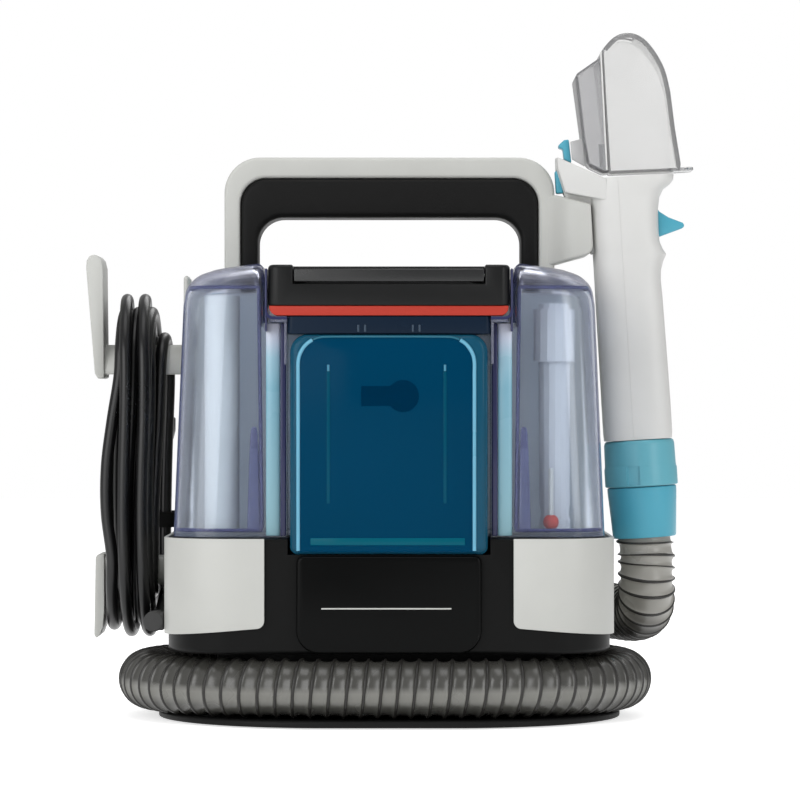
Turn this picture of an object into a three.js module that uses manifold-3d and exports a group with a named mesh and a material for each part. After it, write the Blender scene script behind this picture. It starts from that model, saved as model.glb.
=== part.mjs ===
// Spot extractor: a portable carpet and upholstery cleaner.
// Millimetres, +Z up, front is -Y. The origin is on the floor under the middle.
import * as THREE from 'three';
import * as BufferGeometryUtils from 'three/addons/utils/BufferGeometryUtils.js';
import Module from 'manifold-3d';

const wasm = await Module();
wasm.setup();
const { Manifold, CrossSection } = wasm;

// ---------------------------------------------------------------- sizes
const GAP = 0.3;                 // clearance between pieces that touch
const WALL = 2.4;                // moulded plastic wall
const CURVE_SEGMENTS = 20;       // facets in a full circle

const BASE = { halfX: 134, halfY: 109, corner: 98, z0: 0.8, z1: 4.6 };
const FOOT = { x: 84, y: 62, radius: 9, top: 2 };
const CORE = { halfX: 100, halfY: 67, corner: 50 };
const HOUSING = { halfX: 126, front: -94, back: 72, corner: 38, z0: 41, z1: 106 };
const SIDE_PANEL = { thick: 2.4, width: 56, z0: 51.5, sill: 60, corner: 4.5 };
const SIDE_X = HOUSING.halfX + SIDE_PANEL.thick;      // outer face of a side panel
const DECK_UNDERSIDE = HOUSING.z1 - 13;
const TOWER = {
  halfX: HOUSING.halfX - 8, front: 0, back: HOUSING.back, corner: 20, z0: HOUSING.z1 + GAP, z1: 252,
};
const COVER = { halfX: 78, z0: 122, z1: 228 };
const BUTTON = { x0: -TOWER.halfX + 4, width: 15.5, y0: 20, y1: 44, corner: 3 };
const DRIVE = { x: 40, shroud: 32, motor: 27, fan: 27.5, shaft: 3.5, hub: 8, wall: 2.2 };
const HANDLE = {
  y0: TOWER.front + 8, y1: TOWER.front + 42, halfX: TOWER.halfX - 21, top: TOWER.z1 + 74.6,
  radius: 21, band: 9.5, topBand: 12.2,
};
const GRIP = { inset: 0.3, legWidth: 10, top: 23, innerRadius: 15, proud: 1.5 };
const LID = { halfX: 68, front: HOUSING.front - 4, back: TOWER.front - 5, z0: 237.2, z1: 260 };
const LID_SIDE = LID.halfX + 1.7;                     // lobes begin here beside the lid
const BRIDGE_TOP = LID.z0 - 9.7;
const RECOVERY = {
  halfX: HOUSING.halfX - 3, front: HOUSING.front + 10, back: TOWER.front - 3.6,
  z0: HOUSING.z1 + 0.6, z1: LID.z1 - 3, corner: 26, wall: 2.2,
};
const CLEAN = {
  halfX: 55.5, front: HOUSING.front - 4, back: -50, z0: HOUSING.z1 - 8.7, z1: BRIDGE_TOP - 6.6,
  wall: 2.2, corner: 10, cap: 16.5,
};
const NOTCH = { halfX: CLEAN.halfX + 2.2, back: CLEAN.back + 2 };
const TANK_MOUTH = { halfX: 50, y0: RECOVERY.back - 37.4, y1: RECOVERY.back - 7.4 };
const TOOL = { x: HOUSING.halfX + 24.4, y: 15, z: TOWER.z1 - 148.7, lean: 3.5 };
const HOSE = { radius: 17, root: 15.2, bore: 13.4, pitch: 9.4, sides: 8 };
const BORE_RING_STEPS = 8;       // stations of the hose between two rings of its bore
const HOSE_Z = BASE.z1 + HOSE.radius + GAP;           // middle of the hose where it lies on the base
const PORT = { x: 46, y: 92, barrel: 16.8, spigot: 11, bore: 8, length: 22.6 };
const CORD = { diameter: 7, sides: 8 };
const STRAND = CORD.diameter + 0.6;                   // from one strand to the next
const HANK = { x: -SIDE_X - 4.4, y: 30, low: 91.6, high: 199.2, innerRadius: 3 * CORD.diameter + 0.5 };
const TIE = { z0: 108, z1: 117 };
const GLAND = { x: -SIDE_X - 6.2, z: 57.5, front: -58, back: -22, radius: 5.8, tip: 4.7 };
const HOOK = { radius: HANK.innerRadius - CORD.diameter / 2 - 0.5, halfY: 19 };

// ---------------------------------------------------------------- materials
const finish = (color, roughness, metalness = 0, extra = {}) =>
  new THREE.MeshStandardMaterial({ color, roughness, metalness, ...extra });
const clearTint = (color, opacity) => finish(color, 0.12, 0, { transparent: true, opacity });
const WHITE = finish(0xdfe0dc, 0.45);
const BLACK = finish(0x1b1c1e, 0.4);
const SOFT_BLACK = finish(0x202123, 0.75);
const TEAL = finish(0x1f8fb2, 0.4);
const NAVY = finish(0x10202c, 0.35);
const RED = finish(0xd8452c, 0.5);
const RUBBER = finish(0x161616, 0.9);
const STEEL = finish(0xb4b6b8, 0.3, 1);
const CLEAR_GREY = clearTint(0xb9b9c6, 0.4);
const CLEAR_BLUE = clearTint(0x005b80, 0.85);
const CLEAR_TEAL = clearTint(0x2a8ba6, 0.7);
const HOSE_GREY = finish(0x5b5a55, 0.45);
const CORD_BLACK = finish(0x141414, 0.6);

// ---------------------------------------------------------------- solid helpers
function block(x0, x1, y0, y1, z0, z1) {
  return Manifold.cube([x1 - x0, y1 - y0, z1 - z0]).translate([x0, y0, z0]);
}

function plan(x0, x1, y0, y1, radius) {
  const middle = [(x0 + x1) / 2, (y0 + y1) / 2];
  const core = CrossSection.square([x1 - x0 - 2 * radius, y1 - y0 - 2 * radius], true);
  return core.offset(radius, 'Round', 2, CURVE_SEGMENTS).translate(middle);
}

function prism(section, z0, z1) {
  return section.extrude(z1 - z0).translate([0, 0, z0]);
}

// A convex prism whose top and bottom edges are eased.
function easedPrism(section, z0, z1, topEase, bottomEase = 0) {
  const layers = [];
  for (const share of [0, 0.3, 1]) {
    const inset = 1 - Math.sqrt(1 - (1 - share) ** 2);
    const low = z0 + bottomEase * share;
    const high = z1 - topEase * share;
    if (topEase > 0) layers.push(prism(section.offset(-topEase * inset, 'Round'), high - 0.01, high));
    if (bottomEase > 0) layers.push(prism(section.offset(-bottomEase * inset, 'Round'), low, low + 0.01));
  }
  if (topEase === 0) layers.push(prism(section, z1 - 0.01, z1));
  if (bottomEase === 0) layers.push(prism(section, z0, z0 + 0.01));
  return Manifold.hull(layers);
}

// A profile drawn in X and Z, pulled out along Y.
function slab(points, y0, y1) {
  const upright = new CrossSection([points]).extrude(y1 - y0).rotate([90, 0, 0]);
  return upright.translate([0, y1, 0]);
}

function ring(points) {
  const area = THREE.ShapeUtils.area(points.map(([x, y]) => new THREE.Vector2(x, y)));
  return area < 0 ? [...points].reverse() : points;
}

function rod(axis, radius, from, to, across, segments = CURVE_SEGMENTS) {
  const upright = Manifold.cylinder(to - from, radius, radius, segments);
  if (axis === 'x') return upright.rotate([0, 90, 0]).translate([from, across[0], across[1]]);
  if (axis === 'y') return upright.rotate([-90, 0, 0]).translate([across[0], from, across[1]]);
  return upright.translate([across[0], across[1], from]);
}

function turned(profile, segments = CURVE_SEGMENTS) {
  return new CrossSection([ring(profile)]).revolve(segments);
}

function fromGeometry(geometry) {
  geometry.deleteAttribute('normal');
  geometry.deleteAttribute('uv');
  const merged = BufferGeometryUtils.mergeVertices(geometry, 1e-4);
  const mesh = new wasm.Mesh({
    numProp: 3,
    vertProperties: new Float32Array(merged.attributes.position.array),
    triVerts: new Uint32Array(merged.index.array),
  });
  return new Manifold(mesh);
}

// A profile in X and Z with rounded long edges, pulled out along Y.
function easedSlab(points, y0, y1, ease, steps = 2) {
  const shape = new THREE.Shape(ring(points).map(([x, z]) => new THREE.Vector2(x, z)));
  const geometry = new THREE.ExtrudeGeometry(shape, {
    depth: y1 - y0 - 2 * ease, bevelEnabled: true, bevelThickness: ease,
    bevelSize: ease, bevelOffset: -ease, bevelSegments: steps,
  });
  return fromGeometry(geometry).rotate([90, 0, 0]).translate([0, y1 - ease, 0]);
}

function arc(cx, cz, radius, from, to, steps) {
  const points = [];
  for (let i = 0; i <= steps; i += 1) {
    const angle = THREE.MathUtils.degToRad(from + (to - from) * i / steps);
    points.push([cx + radius * Math.cos(angle), cz + radius * Math.sin(angle)]);
  }
  return points;
}

// ---------------------------------------------------------------- scene helpers
const machine = new THREE.Group();
machine.name = 'spot_extractor';

function geometryOf(manifold) {
  const mesh = manifold.getMesh();
  const geometry = new THREE.BufferGeometry();
  const positions = new Float32Array(mesh.numVert * 3);
  for (let i = 0; i < mesh.numVert; i += 1) {
    positions.set(mesh.vertProperties.slice(i * mesh.numProp, i * mesh.numProp + 3), i * 3);
  }
  geometry.setAttribute('position', new THREE.BufferAttribute(positions, 3));
  geometry.setIndex(new THREE.BufferAttribute(new Uint32Array(mesh.triVerts), 1));
  geometry.computeVertexNormals();
  return geometry;
}

function add(name, shape, material, parent = machine) {
  const geometry = shape instanceof THREE.BufferGeometry ? shape : geometryOf(shape);
  const mesh = new THREE.Mesh(geometry, material);
  mesh.name = name;
  parent.add(mesh);
  return mesh;
}

// ---------------------------------------------------------------- base and housing
function buildBase() {
  const outline = plan(-BASE.halfX, BASE.halfX, -BASE.halfY, BASE.halfY, BASE.corner);
  let plate = easedPrism(outline, BASE.z0, BASE.z1, 1.4);
  const spots = [[-1, -1], [1, -1], [-1, 1], [1, 1]];
  spots.forEach(([sideX, sideY], i) => {
    const at = [FOOT.x * sideX, FOOT.y * sideY];
    plate = plate.subtract(rod('z', FOOT.radius + GAP, 0, FOOT.top + GAP, at));
    add(`rubber_foot_${i + 1}`, rod('z', FOOT.radius, 0, FOOT.top, at), RUBBER);
  });
  add('base_plate', plate, SOFT_BLACK);
}

const housingPlan = (grow) => plan(
  -HOUSING.halfX - grow, HOUSING.halfX + grow, HOUSING.front - grow, HOUSING.back + grow, HOUSING.corner + grow);
const corePlan = (grow) => plan(
  -CORE.halfX - grow, CORE.halfX + grow, -CORE.halfY - grow, CORE.halfY + grow, CORE.corner + grow);

function buildHousing() {
  const coreBottom = BASE.z1 + GAP;
  const outer = prism(corePlan(0), coreBottom, HOUSING.z0 + 1)
    .add(easedPrism(housingPlan(0), HOUSING.z0, HOUSING.z1, 1.5, 3));
  const hollow = prism(corePlan(-WALL), coreBottom + WALL, HOUSING.z0 + 4)
    .add(prism(housingPlan(-WALL), HOUSING.z0 + WALL, DECK_UNDERSIDE))
    .add(block(-TOWER.halfX + 6, TOWER.halfX - 6, TOWER.front + 4, TOWER.back - 4,
      DECK_UNDERSIDE - 1, HOUSING.z1 + 1)
      .intersect(prism(housingPlan(-WALL), HOUSING.z0, HOUSING.z1 + 2)));
  const shell = outer.subtract(hollow);
  // The upper storey is a deck of its own, from the floor of the clean tank's seat upward.
  const seam = CLEAN.z0 - GAP;
  const storey = (z0, z1) => block(-HOUSING.halfX - 1, HOUSING.halfX + 1,
    HOUSING.front - 1, HOUSING.back + 1, z0, z1);
  const hosePortHole = rod('y', PORT.bore, CORE.halfY - 7, CORE.halfY + 3, [PORT.x, HOSE_Z]);
  add('chassis_housing', shell.intersect(storey(0, seam)).subtract(hosePortHole), BLACK);

  const seatHalf = CLEAN.halfX + 1.5;
  const cleanTankSeat = block(-seatHalf, seatHalf, CLEAN.front - 2, CLEAN.back + 1,
    seam - 1, HOUSING.z1 + 1);
  const deck = shell.intersect(storey(seam + GAP, HOUSING.z1 + 1)).subtract(cleanTankSeat);
  add('housing_deck', deck, BLACK);
}

function buildPanels() {
  const half = CLEAN.halfX - 3.5;
  const low = HOUSING.z0 + 0.5;
  const high = CLEAN.z0 - 0.7;
  const [big, small] = [12, 4];
  const front = easedSlab([
    ...arc(-half + big, low + big, big, 180, 270, 5), ...arc(half - big, low + big, big, 270, 360, 5),
    ...arc(half - small, high - small, small, 0, 90, 3), ...arc(-half + small, high - small, small, 90, 180, 3),
  ], HOUSING.front - 4.6, HOUSING.front - GAP, 1.2);
  add('front_panel', front, BLACK);
  const { thick, width, z0, sill, corner } = SIDE_PANEL;
  const sleeve = prism(housingPlan(thick), z0 - 3.5, HOUSING.z1)
    .subtract(prism(housingPlan(GAP), z0 - 4.5, HOUSING.z1 + 1));
  const far = -SIDE_X - 12;
  const inner = -HOUSING.halfX + width;
  const outline = [
    [far, HOUSING.z1], [inner, HOUSING.z1], [inner, sill], ...arc(inner - corner, sill, corner, 0, -80, 4),
    [-HOUSING.halfX + 4, z0], [far, z0 - 1],
  ];
  const left = sleeve.intersect(slab(ring(outline), HOUSING.front - 26, HOUSING.back - 16));
  add('left_panel', left, WHITE);
  add('right_panel', left.mirror([1, 0, 0]), WHITE);
}

function buildTower() {
  const outline = plan(-TOWER.halfX, TOWER.halfX, TOWER.front, TOWER.back, TOWER.corner);
  const outer = easedPrism(outline, TOWER.z0, TOWER.z1, 4);
  const hollow = prism(outline.offset(-WALL, 'Round'), TOWER.z0 - 1, TOWER.z1 - WALL);
  const coverHole = block(-COVER.halfX, COVER.halfX, TOWER.back - 12, TOWER.back + 8, COVER.z0, COVER.z1);
  const buttonEnd = BUTTON.x0 + BUTTON.width;
  const buttonHole = block(BUTTON.x0, buttonEnd, BUTTON.y0, BUTTON.y1, TOWER.z1 - 10, TOWER.z1 + 1);
  add('rear_tower', outer.subtract(hollow).subtract(coverHole).subtract(buttonHole), WHITE);

  let cover = block(-COVER.halfX + GAP, COVER.halfX - GAP, TOWER.back - WALL, TOWER.back + 0.6,
    COVER.z0 + GAP, COVER.z1 - GAP);
  const slotHalf = COVER.halfX - 16;
  const slotPitch = (COVER.z1 - COVER.z0 - 28) / 7.5;
  for (let i = 0; i < 8; i += 1) {
    const z = COVER.z0 + 14 + i * slotPitch;
    cover = cover.subtract(block(-slotHalf, slotHalf, TOWER.back - 12, TOWER.back + 8, z, z + 4.6));
  }
  add('rear_cover', cover, SOFT_BLACK);

  const capPlan = plan(BUTTON.x0 + GAP, buttonEnd - GAP, BUTTON.y0 + GAP, BUTTON.y1 - GAP, BUTTON.corner);
  const cap = easedPrism(capPlan, TOWER.z1 - 6, TOWER.z1 + 4.5, 1.5);
  add('power_button', cap, TEAL);
}

function buildDrive() {
  const { shroud, shaft, hub, wall } = DRIVE;
  const axis = [DRIVE.x, (TOWER.front + TOWER.back) / 2];
  const z0 = TOWER.z0 + 15.7;
  const seat = z0 + 25.6;
  const flange = block(axis[0] - shroud - 4, axis[0] + shroud + 4,
    TOWER.front + WALL + GAP, TOWER.back - WALL - GAP, seat - 2.6, seat);
  const can = rod('z', shroud, z0, seat, axis).add(flange)
    .subtract(rod('z', shroud - wall, z0 - 1, seat - 2.6, axis)).subtract(rod('z', hub, seat - 7, seat + 2, axis));
  add('motor_shroud', can, SOFT_BLACK);
  const motor = rod('z', DRIVE.motor, seat + GAP, seat + 66.4, axis).add(rod('z', shaft, z0 + 2, seat + 0.4, axis, 16));
  add('vacuum_motor', motor, STEEL);
  let fan = rod('z', DRIVE.fan, z0 + 4, z0 + 6, axis).add(rod('z', hub, z0 + 4, z0 + 20, axis, 16));
  for (let i = 0; i < 8; i += 1) {
    const blade = block(hub - 1, DRIVE.fan - 0.5, -1, 1, z0 + 5, z0 + 20).rotate([0, 0, 45 * i]);
    fan = fan.add(blade.translate([axis[0], axis[1], 0]));
  }
  add('fan_impeller', fan.subtract(rod('z', shaft + GAP, z0 - 2, seat + 2, axis, 16)), SOFT_BLACK);
  const floor = BASE.z1 + GAP + WALL + GAP;
  const pump = easedPrism(plan(-75, -25, 5, 37, 5), floor, floor + 30, 2)
    .add(rod('z', 4, floor + 20, floor + 40, [-38, 21], 16)).add(rod('z', 4, floor + 20, floor + 40, [-62, 21], 16));
  add('pump', pump, SOFT_BLACK);
}

// ---------------------------------------------------------------- handle and dock
function arch(halfX, bottom, top, radius) {
  return [
    [-halfX, bottom], [halfX, bottom],
    ...arc(halfX - radius, top - radius, radius, 0, 90, 6),
    ...arc(-halfX + radius, top - radius, radius, 90, 180, 6),
  ];
}

function archSlab(outer, inner, y0, y1, ease) {
  const outline = [...outer.slice(1), outer[0], inner[0], ...inner.slice(1).reverse()];
  return easedSlab(outline, y0, y1, ease);
}

function buildHandle() {
  const foot = TOWER.z1 + GAP;
  const innerHalf = HANDLE.halfX - HANDLE.band;
  const innerTop = HANDLE.top - HANDLE.topBand;
  const white = archSlab(
    arch(HANDLE.halfX, foot, HANDLE.top, HANDLE.radius),
    arch(innerHalf, foot, innerTop, GRIP.innerRadius), HANDLE.y0, HANDLE.y1, 1.6);
  add('handle_frame', white, WHITE);
  const blackHalf = innerHalf - GRIP.inset;
  const blackTop = innerTop - GRIP.inset;
  const black = archSlab(
    arch(blackHalf, foot, blackTop, GRIP.innerRadius),
    arch(blackHalf - GRIP.legWidth, foot, blackTop - GRIP.top, GRIP.innerRadius),
    HANDLE.y0 - GRIP.proud, HANDLE.y1 + GRIP.proud, 3);
  add('handle_grip', black, SOFT_BLACK);
}

const toWorld = (shape) => shape.rotate([0, -TOOL.lean, 0]).translate([TOOL.x, TOOL.y, TOOL.z]);

function worldPoint([x, z]) {
  const lean = THREE.MathUtils.degToRad(TOOL.lean);
  return [
    TOOL.x + x * Math.cos(lean) - z * Math.sin(lean),
    TOOL.z + z * Math.cos(lean) + x * Math.sin(lean),
  ];
}

const FIN_EDGE = [[-21.6, 156], [-35.3, 204.1], [-39.1, 219.1]];
const FIN_HALF = 7;
// The bracket's outline, measured from the top corner of the handle's arch.
const DOCK_OUTLINE = [[0.4, -22.2], [21.2, -27.7], [22.4, -30.4], [21.8, -54], [19.4, -58], [0.4, -63]];

function buildDock() {
  const outline = DOCK_OUTLINE.map(([x, z]) => [HANDLE.halfX + x, HANDLE.top + z]);
  const bracket = easedSlab(outline, TOOL.y - 16, TOOL.y + 16, 1.5);
  const edge = FIN_EDGE.map(worldPoint).map(([x, z]) => [x - 0.4, z]);
  const [farX, farZ] = [edge[0][0] + 22, HANDLE.top + 18];
  const slot = slab(ring([...edge, [edge[2][0], farZ], [farX, farZ], [farX, edge[0][1]]]),
    TOOL.y - FIN_HALF - 0.5, TOOL.y + FIN_HALF + 0.5);
  const backRest = toWorld(block(-20.7, 60, -30, 30, 100, 260));
  add('tool_dock', bracket.subtract(slot).subtract(backRest), WHITE);
}

// ---------------------------------------------------------------- tanks
// Slices up one lobe: share of the height, drop below it, then how far the outer side,
// the front and the other two sides have come in.
const LOBE_SLICES = [
  [0, 0, 0, 0, 0], [1, 19, 5.6, 0.8, 0], [1, 9, 7.6, 2.6, 0], [1, 3, 13, 7.6, 1.4], [1, 0, 22, 18, 4],
];

function lobe(inset, z0, z1, side) {
  const inner = LID_SIDE + inset;
  const slices = LOBE_SLICES.map(([share, drop, outer, front, rest]) => {
    const halfX = RECOVERY.halfX - inset - outer;
    const near = RECOVERY.front + inset + front;
    const corner = RECOVERY.corner - inset;
    const section = plan(inner + rest, halfX, near, RECOVERY.back - inset - rest, 3)
      .intersect(plan(-halfX, halfX, near, RECOVERY.back + 60, corner));
    const top = z0 + (z1 - z0) * share - drop;
    return prism(section, Math.max(z0, top - 0.001), Math.max(z0 + 0.001, top));
  });
  const shape = Manifold.hull(slices);
  return side < 0 ? shape.mirror([1, 0, 0]) : shape;
}

function tankVolume(inset, bottom, lobeTop, bridgeTop) {
  const y1 = RECOVERY.back - inset;
  let volume = block(-LID_SIDE - 4, LID_SIDE + 4, NOTCH.back + inset, y1, bottom, bridgeTop);
  for (const side of [-1, 1]) {
    const inner = NOTCH.halfX + inset;
    const cheek = block(inner, LID_SIDE + 4, RECOVERY.front + inset, y1, bottom, bridgeTop);
    volume = volume.add(side < 0 ? cheek.mirror([1, 0, 0]) : cheek).add(lobe(inset, bottom, lobeTop, side));
  }
  return volume;
}

function buildRecoveryTank() {
  const { wall, z0, front } = RECOVERY;
  const rib = Manifold.hull([
    block(LID_SIDE + 2.9, LID_SIDE + 10.3, front + 1.4, front + 18, z0 + 1, z0 + 3),
    block(LID_SIDE + 5.3, LID_SIDE + 7.7, front + 1.4, front + 5, z0 + 59.4, z0 + 62.4),
  ]);
  const mouth = block(-TANK_MOUTH.halfX, TANK_MOUTH.halfX, TANK_MOUTH.y0, TANK_MOUTH.y1,
    BRIDGE_TOP - 12, BRIDGE_TOP + 3);
  const shell = tankVolume(0, z0, RECOVERY.z1, BRIDGE_TOP)
    .subtract(tankVolume(wall, z0 + wall + 0.4, RECOVERY.z1 - wall - 0.2, BRIDGE_TOP - wall))
    .subtract(mouth).add(rib).add(rib.mirror([1, 0, 0]));
  add('recovery_tank', shell, CLEAR_GREY);

  for (const [side, word] of [[-1, 'left'], [1, 'right']]) {
    const trim = block(NOTCH.halfX + GAP, LID_SIDE - GAP, front - 2.6, front - GAP, z0 + 0.8, BRIDGE_TOP - GAP);
    add(`lobe_trim_${word}`, side < 0 ? trim.mirror([1, 0, 0]) : trim, CLEAR_TEAL);
  }

  const rimHalf = LID.halfX - 0.4;
  const blockHalf = NOTCH.halfX - 1.2;
  const rim = prism(plan(-rimHalf, rimHalf, LID.front + 1.5, LID.back + 1, 5), BRIDGE_TOP + GAP, LID.z0 - 6.1)
    .add(block(-blockHalf, blockHalf, LID.front + 2.5, NOTCH.back - GAP, CLEAN.z1 + GAP, BRIDGE_TOP + 1))
    .subtract(block(-TANK_MOUTH.halfX, TANK_MOUTH.halfX, TANK_MOUTH.y0, TANK_MOUTH.y1,
      BRIDGE_TOP - 20, BRIDGE_TOP + 20));
  add('tank_rim', rim, NAVY);

  const floor = z0 + wall + 0.4 + GAP;
  const top = RECOVERY.z1 - 17;
  const tube = [(LID_SIDE + RECOVERY.halfX) / 2 - 1.35, (front + RECOVERY.back) / 2 + 1.8];
  const riser = rod('z', 9, floor, top, tube, 16).add(rod('z', 12, top - 34, top - 4, tube, 16))
    .subtract(rod('z', 7, floor + 3, top + 1, tube, 16))
    .subtract(rod('x', 4, tube[0] - 15, tube[0] + 15, [tube[1], floor + 10], 12));
  add('separator_tube', riser, clearTint(0xd9d9e2, 0.55));
  const post = [tube[0] - 3, tube[1] - 22];
  add('float_post', rod('z', 1.4, floor, floor + 35.5, post, 12), WHITE);
  const ball = Manifold.sphere(4.6, 20).translate([post[0], post[1], floor + 5]);
  add('float_ball', ball.subtract(rod('z', 1.9, floor - 5, floor + 15, post, 12)), RED);
}

const LID_HINGE = { y: LID.front + 24, z: LID.z1 - 6, pin: 1.7 };
const BAIL = {
  halfX: LID.halfX - 14.6, front: LID.front + 0.4, back: LID.front + 12,
  z0: LID.z1 - 9.6, z1: LID.z1 - 2.4, arm: 7.4,
};

function buildLid() {
  const outline = plan(-LID.halfX, LID.halfX, LID.front, LID.back, 6);
  const wellHalf = BAIL.halfX + 0.6;
  const well = block(-wellHalf, wellHalf, LID.front - 6, LID.front + 32, LID.z1 - 11, LID.z1 + 10);
  const { halfX: mouthHalf, y0, y1 } = TANK_MOUTH;
  const neck = block(-mouthHalf + 1.5, mouthHalf - 1.5, y0 + 1.4, y1 - 1.4, BRIDGE_TOP - 6.5, LID.z0 + 1);
  let lid = easedPrism(outline, LID.z0, LID.z1, 2.4).add(neck).subtract(well);
  const sealHalf = LID.halfX - 0.8;
  const sealPlan = plan(-sealHalf, sealHalf, LID.front + 0.8, LID.back - 0.6, 6);
  const seal = prism(sealPlan, LID.z0 - 5.8, LID.z0 - GAP)
    .subtract(block(-mouthHalf + 1.1, mouthHalf - 1.1, y0 + 1, y1 - 1, LID.z0 - 30, LID.z0 + 3));
  add('lid_seal', seal, RED);

  const hinge = [LID_HINGE.y, LID_HINGE.z];
  let bar = block(-BAIL.halfX, BAIL.halfX, BAIL.front, BAIL.back, BAIL.z0, BAIL.z1);
  for (const side of [-1, 1]) {
    const inner = BAIL.halfX - BAIL.arm;
    const arm = block(inner, BAIL.halfX, BAIL.back - 4, LID_HINGE.y, BAIL.z0, BAIL.z1)
      .add(rod('x', (BAIL.z1 - BAIL.z0) / 2, inner, BAIL.halfX, hinge, 20));
    bar = bar.add(side < 0 ? arm.mirror([1, 0, 0]) : arm);
    const word = side < 0 ? 'left' : 'right';
    const pin = rod('x', LID_HINGE.pin, inner + 1, BAIL.halfX + 5.6, hinge, 16);
    add(`lid_pin_${word}`, side < 0 ? pin.mirror([1, 0, 0]) : pin, STEEL);
  }
  const bore = rod('x', LID_HINGE.pin + GAP, -BAIL.halfX - 6, BAIL.halfX + 6, hinge, 16);
  add('lid_handle', bar.subtract(bore), BLACK);
  lid = lid.subtract(bore);
  add('tank_lid', lid, BLACK);
}

function buildCleanTank() {
  const { halfX, front, back, z0, z1, wall, corner, cap: capRadius } = CLEAN;
  const body = (inset, top) => easedSlab([
    [-halfX + inset, z0 + inset], [halfX - inset, z0 + inset],
    ...arc(halfX - corner, z1 - top - corner + inset, corner - inset, 0, 90, 4),
    ...arc(-halfX + corner, z1 - top - corner + inset, corner - inset, 90, 180, 4),
  ], front + inset, back - inset, 2.5 - inset / 2);
  const fill = [0, (front + back) / 2];
  const wellFloor = z1 - 12.9;
  const well = rod('z', capRadius + 1, wellFloor, z1 + 4, fill);
  const collar = rod('z', capRadius + 3.5, wellFloor - 2.4, z1 - 1, fill);
  const hole = rod('z', capRadius - 4.5, wellFloor - 8, wellFloor + 2, fill);
  const hollow = body(wall, wall).subtract(collar);
  const tank = body(0, 0).subtract(hollow).subtract(well).subtract(hole);
  add('clean_tank', tank, CLEAR_BLUE);
  const cap = rod('z', capRadius, wellFloor + GAP, wellFloor + 7, fill)
    .add(block(-12, 12, fill[1] - 2, fill[1] + 2, wellFloor + 6, wellFloor + 11.6))
    .add(rod('z', capRadius - 4.9, wellFloor - 5, wellFloor + 1, fill));
  add('clean_tank_cap', cap, NAVY);
  const valveZ = z1 - 31.3;
  const valveBack = back - wall - GAP;
  const valve = rod('y', 7.3, valveBack - 5.5, valveBack, [2, valveZ])
    .add(block(-15, 2, valveBack - 4.5, valveBack, valveZ - 2, valveZ + 2));
  add('outlet_valve', valve, NAVY);
}

// ---------------------------------------------------------------- tool
const tool = new THREE.Group();
tool.position.set(TOOL.x, TOOL.y, TOOL.z);
tool.rotation.y = THREE.MathUtils.degToRad(-TOOL.lean);
machine.add(tool);

const TOOL_HALF = 18;
const PARTING = -4;
const TRIGGER_PIVOT = [15.2, 191.2];

function toolBody() {
  const outline = [
    [-19, 57.6], [19, 57.6], [19.6, 80], [18.4, 153.6], [19.9, 161], [22.6, 165.7], [19.9, 170.6],
    [19, 176], [19.4, 192], [21.2, 202.4], [23.3, 206], [29.6, 209], [29.6, 212.3],
    [-12.6, 212.3], [-20, 205], [-20.3, 160], [-19.6, 147],
  ];
  const rounding = prism(plan(-20.3, 20.3, -TOOL_HALF, TOOL_HALF, 12), 50, 160)
    .add(prism(plan(-20.3, 23.4, -TOOL_HALF, TOOL_HALF, 12), 158, 207))
    .add(prism(plan(-20.3, 30, -TOOL_HALF, TOOL_HALF, 12), 204, 213));
  const shell = slab(ring(outline), -TOOL_HALF, TOOL_HALF).intersect(rounding);
  const inside = [
    [-13, 50], [13, 50], [16.4, 80], [15.4, 153.6], [15.4, 208], [12, 214], [-8, 214], [-16.6, 203],
    [-16.8, 160], [-16.2, 80],
  ];
  const bore = prism(plan(-17, 17, -TOOL_HALF + 2.6, TOOL_HALF - 2.6, 9), 40, 220);
  return shell.subtract(slab(ring(inside), -TOOL_HALF, TOOL_HALF).intersect(bore));
}

function buildToolShells() {
  const fin = slab(ring([...FIN_EDGE, [-39, 226.7], [-12.4, 212.8], [-16.9, 205], [-17.2, 156]]),
    -FIN_HALF, FIN_HALF);
  const buttonWell = block(-42, -33.4, -5.3, 5.3, 204.4, 218.8);
  const body = toolBody();
  const leftHalf = body.intersect(block(-60, PARTING - GAP / 2, -40, 40, 40, 260));
  add('tool_shell_left', leftHalf.add(fin).subtract(buttonWell), WHITE, tool);

  const bearing = block(8, 18, -11, 11, 172, 199);
  const recess = block(9.6, 30, -6.5, 6.5, 173.6, 196.6);
  const pinBore = rod('y', 1.9, -10, 10, TRIGGER_PIVOT, 16);
  const rightHalf = body.intersect(block(PARTING + GAP / 2, 60, -40, 40, 40, 260));
  add('tool_shell_right', rightHalf.add(bearing).subtract(recess).subtract(pinBore), WHITE, tool);

  const trigger = slab(ring([
    [13, 194.4], [17, 194.8], [21, 189.6], [33.4, 183], [33, 180.4], [24, 177.6], [18, 176], [12.6, 176],
  ]), -6, 6).subtract(pinBore);
  add('trigger', trigger, TEAL, tool);
  add('trigger_pin', rod('y', 1.6, -9.7, 9.7, TRIGGER_PIVOT, 16), STEEL, tool);
  add('release_button', block(-39.9, -36, -5, 5, 204.9, 218.3).add(
    block(-36.1, -35.6, -3, 3, 207, 216)), TEAL, tool);
  const clip = slab(ring([
    [-37, 226.4], [-36.6, 231.3], [-32.8, 236.4], [-29.9, 235.6], [-29.6, 229], [-22.9, 227.6],
    [-22.6, 219],
  ]), -6, 6);
  add('latch_clip', clip, TEAL, tool);
}

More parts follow.
